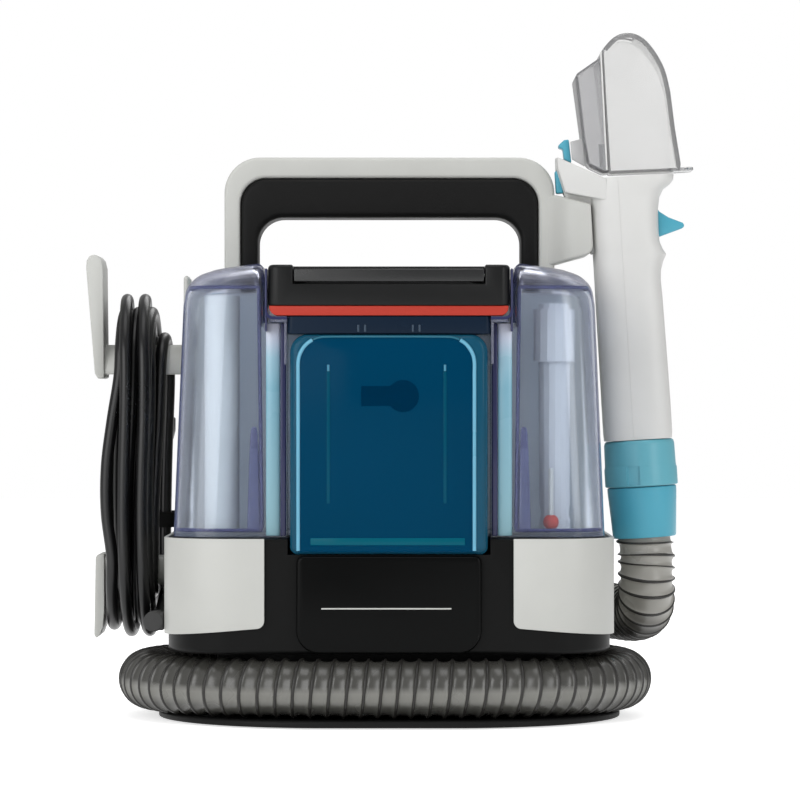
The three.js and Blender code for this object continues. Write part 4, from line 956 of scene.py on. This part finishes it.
def build_grip():
    """Two shells. The left one carries the fin and the crest that hold the nozzle's latch."""
    right = loft("tool_grip_right", [super_ring(*section) for section in TOOL_SECTIONS], WHITE_TOOL, 30)
    carve(right, ((9.6, 40), (-6.5, 6.5), (173.6, 196.6)))
    left = twin(right, "tool_grip_left")
    carve(right, ((-60, SEAM_X + SEAM_GAP), (-40, 40), (40, 260)))
    carve(left, ((SEAM_X - SEAM_GAP, 60), (-40, 40), (40, 260)))
    for name, outline, half_y, segments in (("fin", FIN, 7, 3), ("crest", CREST, 17.1, 4)):
        part = slab(name, outline, -half_y, half_y, WHITE_TOOL)
        cut(left, ease(part, 1.0, segments), "UNION")
    carve(left, ((-42, -33.4), (-5.3, 5.3), (204.4, 218.8)))
    for half, word in ((right, "right"), (left, "left")):
        smooth(half, 30)
        place(half, "hand_tool", [f"tool_shell_{word}"], lean=True)


def build_tool_keys():
    trigger = slab("trigger_lever", TRIGGER, -6, 6, TEAL)
    ease(trigger, 0.9, 3)
    place(trigger, "trigger_lever", ["trigger"], lean=True)
    button = block("nozzle_release_button", (-39.9, -35.6), (-5, 5), (204.9, 218.3), TEAL)
    ease(button, 1.0, 3)
    place(button, "nozzle_release", ["release_button"], lean=True)
    clip = slab("nozzle_latch_clip", LATCH_CLIP, -6, 6, TEAL)
    ease(clip, 0.8, 3)
    place(clip, "hand_tool", ["latch_clip"], lean=True)


def build_cuff():
    collar = turned("tool_collar_ring", COLLAR, COLLAR_TEAL)
    for start in (265, 85):
        inner = [(20.2, start - turn) for turn in range(0, 22, 3)]
        outer = [(23, start - turn) for turn in range(21, -1, -3)]
        recess = [(r * math.cos(math.radians(a)), r * math.sin(math.radians(a))) for r, a in inner + outer]
        cut(collar, loft("recess", [[(x, y, z) for x, y in recess] for z in (31.4, 42.4)], COLLAR_TEAL))
    smooth(collar, SHARP)
    place(collar, "hand_tool", ["tool_collar"], lean=True)
    place(turned("hose_swivel_cuff", CUFF, TEAL), "cuff", ["hose_cuff"], lean=True)


# ---------------------------------------------------------------- nozzle
NOZZLE_FRONT = [
    (-9.4, 214.2), (33, 213.4), (33.4, 217.6), (31, 238.4), (29.4, 259), (28.2, 266), (26.7, 272.2),
    (24.0, 278.6), (20.6, 284.4), (16.9, 289.2), (12.9, 292.4), (9.0, 294.0), (5.2, 294.4), (1.4, 293.9),
    (-2.4, 292.1), (-6.2, 288.8), (-10.2, 284.4),
]
CROWN_START = 4                  # from here on the points are the rounded crown's
NOZZLE_REAR = [
    (-21.2, 219.9), (-12.2, 214.8), (4, 214.2), (4, 283), (-9.4, 282.2), (-25.5, 272.5), (-23.2, 235.8),
]
NOZZLE_FOOT, NOZZLE_HEAD = 213, 296
NOZZLE_HALF = 15                 # half of its depth at the foot, and again as much is added at the head
NOZZLE_WALL = 2
# Two thin strips on the front plate: a painted highlight down its left edge, and a painted shadow line just
# right of it
NOZZLE_LIGHT_LINES = (("nozzle_highlight_strip", -10.4, -9.4, PALE_EDGE), ("nozzle_shadow_strip", -8.9, -8.2, GREY_EDGE))


def smooth_front():
    crown = catmull([Vector(p) for p in NOZZLE_FRONT[CROWN_START:]], 2)
    return NOZZLE_FRONT[:CROWN_START] + [tuple(p) for p in crown]


def nozzle_half(z):
    """Half of the nozzle's depth, which grows with height."""
    return NOZZLE_HALF + NOZZLE_HALF * (z - NOZZLE_FOOT) / (NOZZLE_HEAD - NOZZLE_FOOT)


def flared(name, outline, inset, material):
    """The outline pulled out along Y, wider where it is higher."""
    rings = []
    for side in (-1, 1):
        rings.append([(x, side * (nozzle_half(z) - inset), z) for x, z in outline])
    return loft(name, rings, material, 30)


def shrink(outline, amount):
    """Moves every edge of an outline inward by the same amount."""
    ahead = outline[1:] + outline[:1]
    steps = [Vector((x1 - x0, z1 - z0)).normalized() for (x0, z0), (x1, z1) in zip(outline, ahead)]
    area = sum(x0 * z1 - x1 * z0 for (x0, z0), (x1, z1) in zip(outline, ahead))
    turn = math.copysign(1, area)
    points = []
    for i, (x, z) in enumerate(outline):
        first, second = (Vector((-step.y, step.x)) * turn for step in (steps[i - 1], steps[i]))
        shift = (first + second) * amount / (1 + first.dot(second))
        points.append((x + shift.x, z + shift.y))
    return points


def nozzle_shell(name, outline, inset, material):
    shell = ease(flared(name, outline, inset, material), 2.4, 5, 40)
    return cut(shell, flared("hollow", shrink(outline, NOZZLE_WALL), inset + NOZZLE_WALL, material))


def nozzle_rim(outline):
    """A band round the edge of the front face, a hair proud of it."""
    around = outline[1:-1] + shrink(outline, 2.7)[1:-1][::-1]
    rings = [[(x, -nozzle_half(z) + depth, z) for x, z in around] for depth in (-0.12, 0.8)]
    place(loft("nozzle_rim_band", rings, RIM_SMOKE, 30), "nozzle_head", [], lean=True)


def nozzle_light_line(name, x0, x1, material):
    rings = []
    for z in (216.4, 240, 264, 284.6):
        front_y = -nozzle_half(z) - 0.2
        rings.append([(x, y, z) for x, y in rounded(x0, x1, front_y, front_y + 1.4, 0.3, 4)])
    place(loft(name, rings, material), "nozzle_head", [], lean=True)


def build_nozzle():
    outline = smooth_front()
    rear = nozzle_shell("nozzle_rear_shell", NOZZLE_REAR, 0.8, SMOKE_NOZZLE)
    cut(rear, flared("front_room", outline, -0.2, SMOKE_NOZZLE))
    front = nozzle_shell("nozzle_front_shell", outline, 0, CLEAR_NOZZLE)
    carve(front, ((-1, 11), (-19, 19), (288, 300)))
    nozzle_rim(outline)
    for shell in (rear, front):
        smooth(shell, 30)
        place(shell, "nozzle_head", ["nozzle"], lean=True)
    lip = box_loft("nozzle_lip", (26, 41), (-13, 13), (213.4, 215.4), 4, SMOKE_NOZZLE, 0.5, 0.5, 6)
    place(lip, "nozzle_head", [], lean=True)
    plate = [(-29.6, 224.2), (-22.4, 219.6), (-22.8, 236), (-29.9, 234.6)]
    latch = slab("nozzle_latch_plate", plate, -9.2, -6.6, LATCH_GREY)
    ease(latch, 0.5, 2)
    place(latch, "nozzle_head", [], lean=True)
    for rib in NOZZLE_LIGHT_LINES:
        nozzle_light_line(*rib)


# ---------------------------------------------------------------- hose
HOSE_Z = 21.9
HOSE_ROUTE = [
    (151.4, 15, 87), (151.4, 15, 81), (151.7, 18.5, 70.5), (151.2, 29, 61.5), (147, 47, 57), (132, 72, 57),
    (106, 89, 57.6), (72, 92, 57.6), (38, 92, 56.6), (8, 92, 47), (-22, 92, 32), (-52, 91, HOSE_Z + 1),
]
HOSE_WRAP = [                    # the stretch that lies level round the base, in X and Y
    (-88, 80), (-118, 56), (-136, 24), (-141, -4), (-136, -32), (-118, -60), (-88, -82), (-50, -92),
    (0, -94), (50, -92), (86, -82), (115, -60), (132, -30), (136, 0), (131, 28), (116, 56), (98, 77),
    (79, 89.4), (66, 92), (58, 92),
]
HOSE_RADIUS = 17.0
HOSE_PITCH = 9.4
RISER_PITCH = 6.6                # where the hose is pushed together above the bend
RISER_TURNS = 15
HOSE_SIDES = 40
HOSE_SAMPLE = 1.0
HOSE_WALL = [                    # share of a pitch, and how far the wall stands in from the crest
    (0.0, 1.9), (0.12, 1.85), (0.24, 1.7), (0.34, 1.35), (0.41, 0.8), (0.435, 0.25), (0.47, 0.03),
    (0.53, 0.03), (0.565, 0.25), (0.59, 0.8), (0.66, 1.35), (0.76, 1.7), (0.88, 1.85),
]
RIB_ROWS = range(4, 9)           # the rows of HOSE_WALL that start a face of the rib


def between(framed, place_along):
    """The centre line and its frame at any place, counted in samples."""
    i = min(int(place_along), len(framed) - 2)
    share = place_along - i
    return [a.lerp(b, share) for a, b in zip(framed[i], framed[i + 1])]


def turns_along(turns):
    """How far along the hose a number of the rib's turns reaches."""
    return min(turns, RISER_TURNS) * RISER_PITCH + max(turns - RISER_TURNS, 0) * HOSE_PITCH


def hose_point(framed, row, side):
    """Each row follows the helix of the rib, so that the rib's edges are the mesh's own."""
    turn, level = divmod(row, len(HOSE_WALL))
    share, inset = HOSE_WALL[level]
    along = turns_along(turn + share - side / HOSE_SIDES) / HOSE_SAMPLE
    point, across, up = between(framed, min(max(along, 0), len(framed) - 1))
    angle = 2 * math.pi * side / HOSE_SIDES
    return point + (across * math.cos(angle) + up * math.sin(angle)) * (HOSE_RADIUS - inset)


def hose_index(row, side):
    """The last side joins the first, one turn of the helix lower."""
    if side < HOSE_SIDES:
        return row * HOSE_SIDES + side
    return max(row - len(HOSE_WALL), 0) * HOSE_SIDES


def hose_mesh(framed):
    """Points, faces, and 0 for each face of the rib or 1 for the skin between."""
    levels = len(HOSE_WALL)
    wound = (len(framed) - 1) * HOSE_SAMPLE - turns_along(RISER_TURNS)
    rows = (RISER_TURNS + math.ceil(wound / HOSE_PITCH) + 1) * levels
    vertices = [hose_point(framed, row, side) for row in range(rows) for side in range(HOSE_SIDES)]
    faces = []
    kinds = []
    for row in range(rows - 1):
        for side in range(HOSE_SIDES):
            corners = [(row, side), (row, side + 1), (row + 1, side + 1), (row + 1, side)]
            faces.append(tuple(dict.fromkeys(hose_index(*corner) for corner in corners)))
            kinds.append(0 if row % levels in RIB_ROWS else 1)
    last = rows - 1
    edge = [(last, side) for side in range(HOSE_SIDES)] + [(row, 0) for row in range(last - levels, last)]
    faces += [tuple(range(HOSE_SIDES))[::-1], tuple(hose_index(*corner) for corner in edge)]
    return vertices, faces, kinds + [0, 0]


def build_hose():
    top, entry = tool_point(0, 11.6), tool_point(0, -4)
    x, y, z = HOSE_ROUTE[0]
    route = [(top[0], y, top[1]), (entry[0], y, entry[1]), (x, y, z + 6), *HOSE_ROUTE]
    route += [(x, y, HOSE_Z) for x, y in HOSE_WRAP]
    line, length = resample(catmull([Vector(p) for p in route], 16), HOSE_SAMPLE)
    vertices, faces, kinds = hose_mesh(line_frames(line))
    hose = make_object("suction_hose", vertices, faces, HOSE_RIB, 70)
    hose.data.materials.append(HOSE_SKIN_PAINTED_LIGHT)
    hose.data.polygons.foreach_set("material_index", kinds)
    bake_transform(hose)
    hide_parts("suction_hose_riser", "suction_hose_wrap")


# ---------------------------------------------------------------- cord
CORD_RADIUS = 3.5
HANK = {"x": -132.8, "y": 30, "low": 91.6, "high": 199.2, "radius": 21.5, "layer": 7.6}
LAYERS = [(4, -7.6), (3, 7.6), (3, -7.6), (2, 10.6)]     # turns, and the step along X from turn to turn
LOOP_STEPS = 22
REAR_START, TOP_START, FRONT_START, FOOT_START = 4, 6, 14, 18      # steps where a loop's stretches start
BEND_STEP = 22.5                 # degrees from step to step round either end
HANK_BOW = 7
HANK_LEAN = 3
CORD_STEP = 3.6
LEAD_ROUTE = [
    (-134.6, -34, 57.5), (-134.6, -26, 57.5), (-134.4, -18, 57.5), (-133.8, -8, 58.9), (-133.3, 2, 62.2),
    (-132.9, 10, 65.4), (-132.8, 18, 68.1), (-132.8, 25, 69.8), (-132.8, 29.4, 70.1),
]
TAIL_X = -142
TAIL_ROUTE = [
    (30.6, 47.3), (38, 48), (47, 50.7), (55, 55), (61.3, 60.3), (67, 67.2), (70.9, 74.6), (73.4, 83),
    (74.3, 91.6), (75.6, 101), (79.4, 109.7), (83.3, 118.5), (84.6, 127.5), (84.6, 133.7),
]
PLUG_Y = 84.6
PLUG_SECTIONS = [                # height, half width, half depth and corner
    (134.0, 4.6, 4.6, 4.5), (134.8, 5.8, 5.8, 5.7), (140, 6.2, 6.1, 6.0), (150, 6.9, 6.6, 6.4),
    (156, 8.6, 6.8, 6.2), (161, 10.9, 7.0, 6.0), (165.6, 12.0, 7.0, 6.0), (172.6, 12.0, 7.0, 6.0),
    (173.3, 11.7, 6.7, 5.8), (173.6, 11.0, 6.0, 5.2),
]


def smoothstep(value, low, high):
    share = min(1.0, max(0.0, (value - low) / (high - low)))
    return share * share * (3 - 2 * share)


def racetrack(k, radius):
    """Step k of a loop in Y and Z: up the rear, over the upper hook, down the front, round the lower."""
    low, high, y = HANK["low"], HANK["high"], HANK["y"]

    def bend(degrees, z):
        angle = math.radians(degrees)
        return y + radius * math.cos(angle), z + radius * math.sin(angle)

    if k <= REAR_START:
        return bend(-90 + BEND_STEP * k, low)
    if k < TOP_START:
        return y + radius, low + (high - low) * (k - REAR_START) / (TOP_START - REAR_START)
    if k <= FRONT_START:
        return bend(BEND_STEP * (k - TOP_START), high)
    if k < FOOT_START:
        return y - radius, high - (high - low) * (k - FRONT_START) / (FOOT_START - FRONT_START)
    return bend(180 + BEND_STEP * (k - FOOT_START), low)


def winding_points():
    """Each layer lies on the one before, and the outer loops bow out on the front run."""
    total = sum(turns for turns, _ in LAYERS)
    points = []
    for step in range(total * LOOP_STEPS + 1):
        turn = step / LOOP_STEPS
        x = HANK["x"]
        radius = HANK["radius"]
        begun = 0
        for i, (turns, pitch) in enumerate(LAYERS):
            x += pitch * min(turns, max(0.0, turn - begun))
            if i > 0:
                radius += HANK["layer"] * smoothstep(turn, begun - 0.25, begun + 0.25)
            begun += turns
        k = step % LOOP_STEPS
        y, z = racetrack(k, radius)
        down_front = min(1.0, max(0.0, (k - FRONT_START) / (FOOT_START - FRONT_START)))
        bow = HANK_BOW * math.sin(math.pi * down_front) * smoothstep(HANK["x"] - x, 22, 32)
        lean = HANK_LEAN * smoothstep(z, HANK["low"] + 20, HANK["high"])
        points.append(Vector((x - bow + lean, y, z)))
    return points


def build_plug():
    """The rear of a contour plug narrows to the cord; its face carries the pins."""
    rings = []
    for z, half_x, half_y, corner in PLUG_SECTIONS:
        section = rounded(TAIL_X - half_x, TAIL_X + half_x, PLUG_Y - half_y, PLUG_Y + half_y, corner, 8)
        rings.append([(x, y, z) for x, y in section])
    body = loft("contour_plug", rings, CORD_BLACK)
    for z in (137.5, 141.5, 145.5):
        low, high = z - 0.7, z + 0.7
        groove = turned("groove", [(5.7, low), (9, low), (9, high), (5.7, high)], CORD_BLACK, 40)
        groove.data.transform(Matrix.Translation(Vector((TAIL_X, PLUG_Y, 0)) * MM))
        cut(body, groove)
    smooth(body, 40)
    return place(body, "chassis", ["plug_body"])


def build_cord():
    tail = [Vector((TAIL_X, *p)) for p in TAIL_ROUTE]
    route = [Vector(p) for p in LEAD_ROUTE] + winding_points() + tail
    line, length = resample(catmull(route, 6), CORD_STEP)
    cord = tube("mains_cord", line, CORD_RADIUS, 18, CORD_BLACK)
    place(cord, "chassis", ["cord_lead_in", "cord_winding", "cord_tail"])
    plug = build_plug()


def build_gland():
    """A tapered ribbed boot that carries the cord out of the housing, on a heel."""
    profile = [(0.02, 23), (0.02, 0), (5.2, 0), (5.8, 0.6), (5.8, 9.4), (5.5, 10)]
    for i in range(6):
        y = 11.0 + 4.0 * i
        radius = 5.6 - 0.15 * i
        profile += [(radius - 0.7, y), (radius - 0.7, y + 1.2), (radius, y + 1.5), (radius, y + 3.6)]
    profile += [(4.4, 36), (3.75, 36), (3.75, 23)]
    boot = turned("cord_boot", profile, GREY_RUBBER, 40)
    laid_down = Matrix.Rotation(math.radians(-90), 4, "X")
    boot.data.transform(Matrix.Translation(Vector((-134.6, -58, 57.5)) * MM) @ laid_down)
    heel = box_loft("boot_heel", (-134.6, -128.7), (-57.6, -44.2), (52.5, 62.5), 1.2, GREY_RUBBER, 1, 1, 5)
    carve(heel, ((-134.9, -130.6), (-58, -44), (53.4, 61.6)))
    for piece in (boot, heel):
        place(piece, "chassis", ["cord_gland"])


# ---------------------------------------------------------------- cord hooks
# Outlines of the hooks' outer plates, drawn in X and Z.
UPPER_PLATE = [(-167.7, 197.4), (-168.5, 262), (-169.6, 266.6), (-171.6, 269.0), (-174.2, 269.6),
               (-176.6, 268.6), (-178.2, 265.8), (-178.5, 262), (-173.4, 199.6), (-171.6, 196.6),
               (-169, 196.5)]
LOWER_PLATE = [(-167.7, 92.8), (-167.7, 60), (-168.6, 50), (-170.4, 45.4), (-172.6, 44.0), (-173.7, 46),
               (-172.9, 91.6), (-171.4, 93.2), (-168.6, 93.3)]
ARM_RADIUS = 17.5
ARM_END = -170.2


def build_hook(word, plate_outline, plate_round, arm_z, arm_start, arm_root):
    """A plate that holds the cord in, on a half-round saddle that the cord lies on."""
    plate = slab(f"hook_plate_{word}", plate_outline, 11, 49, WHITE)
    ease(plate, plate_round, 4, 30)
    saddle = [(HANK["y"] + y, arm_z + z) for y, z in arc(0, 0, ARM_RADIUS, arm_start, arm_start + 180, 24)]
    arm = bar_along_x(f"hook_arm_{word}", saddle, ARM_END, arm_root, WHITE)
    ease(arm, 0.8, 2, 50)
    for piece in (plate, arm):
        place(piece, "chassis", [f"cord_hook_{word}"])


def build_hooks():
    build_hook("upper", UPPER_PLATE, 2.0, HANK["high"], 0, -121.2)
    flange = box_loft("hook_flange_upper", (-121, -118.35), (9.5, 50.5), (197.2, 257), 1.1, WHITE,
                      1.2, 1.8, 4)
    place(flange, "chassis", ["cord_hook_upper"])
    build_hook("lower", LOWER_PLATE, 1.8, HANK["low"], 180, -128.9)


# ---------------------------------------------------------------- CAD nodes that stay
KEPT = {
    RUBBER: ["rubber_foot_1", "rubber_foot_2", "rubber_foot_3", "rubber_foot_4"],
    SOFT_BLACK: ["rear_cover", "motor_shroud", "fan_impeller", "pump", "hose_port", "cord_tie"],
    STEEL: ["vacuum_motor", "lid_pin_left", "lid_pin_right", "trigger_pin", "plug_pin_left",
            "plug_pin_right"],
    TEAL: ["power_button"],
    PALE_TUBE: ["separator_tube"],
    WHITE: ["float_post"],
    RED: ["float_ball"],
    NAVY: ["clean_tank_cap", "outlet_valve"],
    TIP_GREY: ["spray_tip"],
}


def dress_kept_nodes():
    for material, names in KEPT.items():
        for name in names:
            for slot in bpy.data.objects[name].material_slots:
                slot.material = material


# ---------------------------------------------------------------- stage
FLOOR_GLOW = 0.64                # what the eye sees of the floor, beside the lamps' light on it
WORLD_DIM = 0.46                 # the light that the world gives
AIM = Vector((0, 0, 0.18))
LAMPS = [                        # name, place, size in metres, power, whether it stands level
    ("softbox", (-1.32, -1.88, 0.95), (2.0, 1.8), 28.5, True),
    ("fill", (1.7, -1.6, 0.9), (0.8, 1.6), 12, False),
    ("back", (0.6, 1.8, 1.8), (1.4, 1.4), 14, False),
    ("top", (-0.1, -0.4, 2.4), (1.6, 1.6), 12, False),
]


def maths(tree, operation, first, second):
    node = add(tree, "ShaderNodeMath", {0: first, 1: second})
    node.operation = operation
    return node.outputs["Value"]


def any_ray(tree, *kinds):
    """1 for a ray of one of these kinds, otherwise 0."""
    path = tree.nodes.new("ShaderNodeLightPath")
    seen = path.outputs[kinds[0]]
    for kind in kinds[1:]:
        seen = maths(tree, "MAXIMUM", seen, path.outputs[kind])
    return seen


def floor_material():
    """Pale and matt. The camera, mirrors and clear plastic also see a light of its own."""
    material, tree, shader = new_material("pale_floor")
    tone = varied_colour(tree, noise(tree, 3, 2), (0.86, 0.86, 0.86), 0.01)
    fill(shader, {"Base Color": tone, "Roughness": 0.8, "Specular IOR Level": 0.1})
    seen = any_ray(tree, "Is Camera Ray", "Is Glossy Ray", "Is Transmission Ray")
    glow = add(tree, "ShaderNodeEmission", {"Strength": maths(tree, "MULTIPLY", seen, FLOOR_GLOW)})
    both = add(tree, "ShaderNodeAddShader", {0: shader.outputs["BSDF"], 1: glow.outputs["Emission"]})
    fill(tree.nodes["Material Output"], {"Surface": both.outputs["Shader"]})
    return material


def build_world():
    """White to the eye and through clear plastic, and a dimmer light on the object."""
    world = bpy.data.worlds.new("studio")
    bpy.context.scene.world = world
    world.use_nodes = True
    tree = world.node_tree
    white = (1, 1, 1, 1)
    dim = fill(tree.nodes["Background"], {"Color": white, "Strength": WORLD_DIM})
    bright = add(tree, "ShaderNodeBackground", {"Color": white, "Strength": 1.0})
    seen = any_ray(tree, "Is Camera Ray", "Is Transmission Ray")
    surface = mixed(tree, seen, dim.outputs["Background"], bright.outputs["Background"])
    fill(tree.nodes["World Output"], {"Surface": surface})


def add_lamp(name, place_at, size, power, level):
    data = bpy.data.lights.new(name, "AREA")
    data.shape = "RECTANGLE"
    data.size, data.size_y = size
    data.energy = power
    lamp = bpy.data.objects.new(name, data)
    lamp.location = place_at
    aim = AIM - Vector(place_at)
    if level:
        aim.z = 0
    lamp.rotation_euler = aim.to_track_quat("-Z", "Y").to_euler()
    bpy.context.collection.objects.link(lamp)


def build_stage():
    floor = block("studio_floor", (-4000, 4000), (-3000, 5000), (-20, 0))
    floor.data.materials.clear()
    floor.data.materials.append(floor_material())
    build_world()
    for lamp in LAMPS:
        add_lamp(*lamp)


# ---------------------------------------------------------------- assembly
build_base()
build_front_panel()
build_side_panels()
build_tower()
build_handle()
build_dock()
build_recovery_tank()
build_lid()
build_tank_rim()
build_clean_tank()
build_grip()
build_tool_keys()
build_cuff()
build_nozzle()
build_hose()
build_cord()
build_gland()
build_hooks()
dress_kept_nodes()
build_stage()

bpy.context.scene.view_settings.view_transform = "Standard"
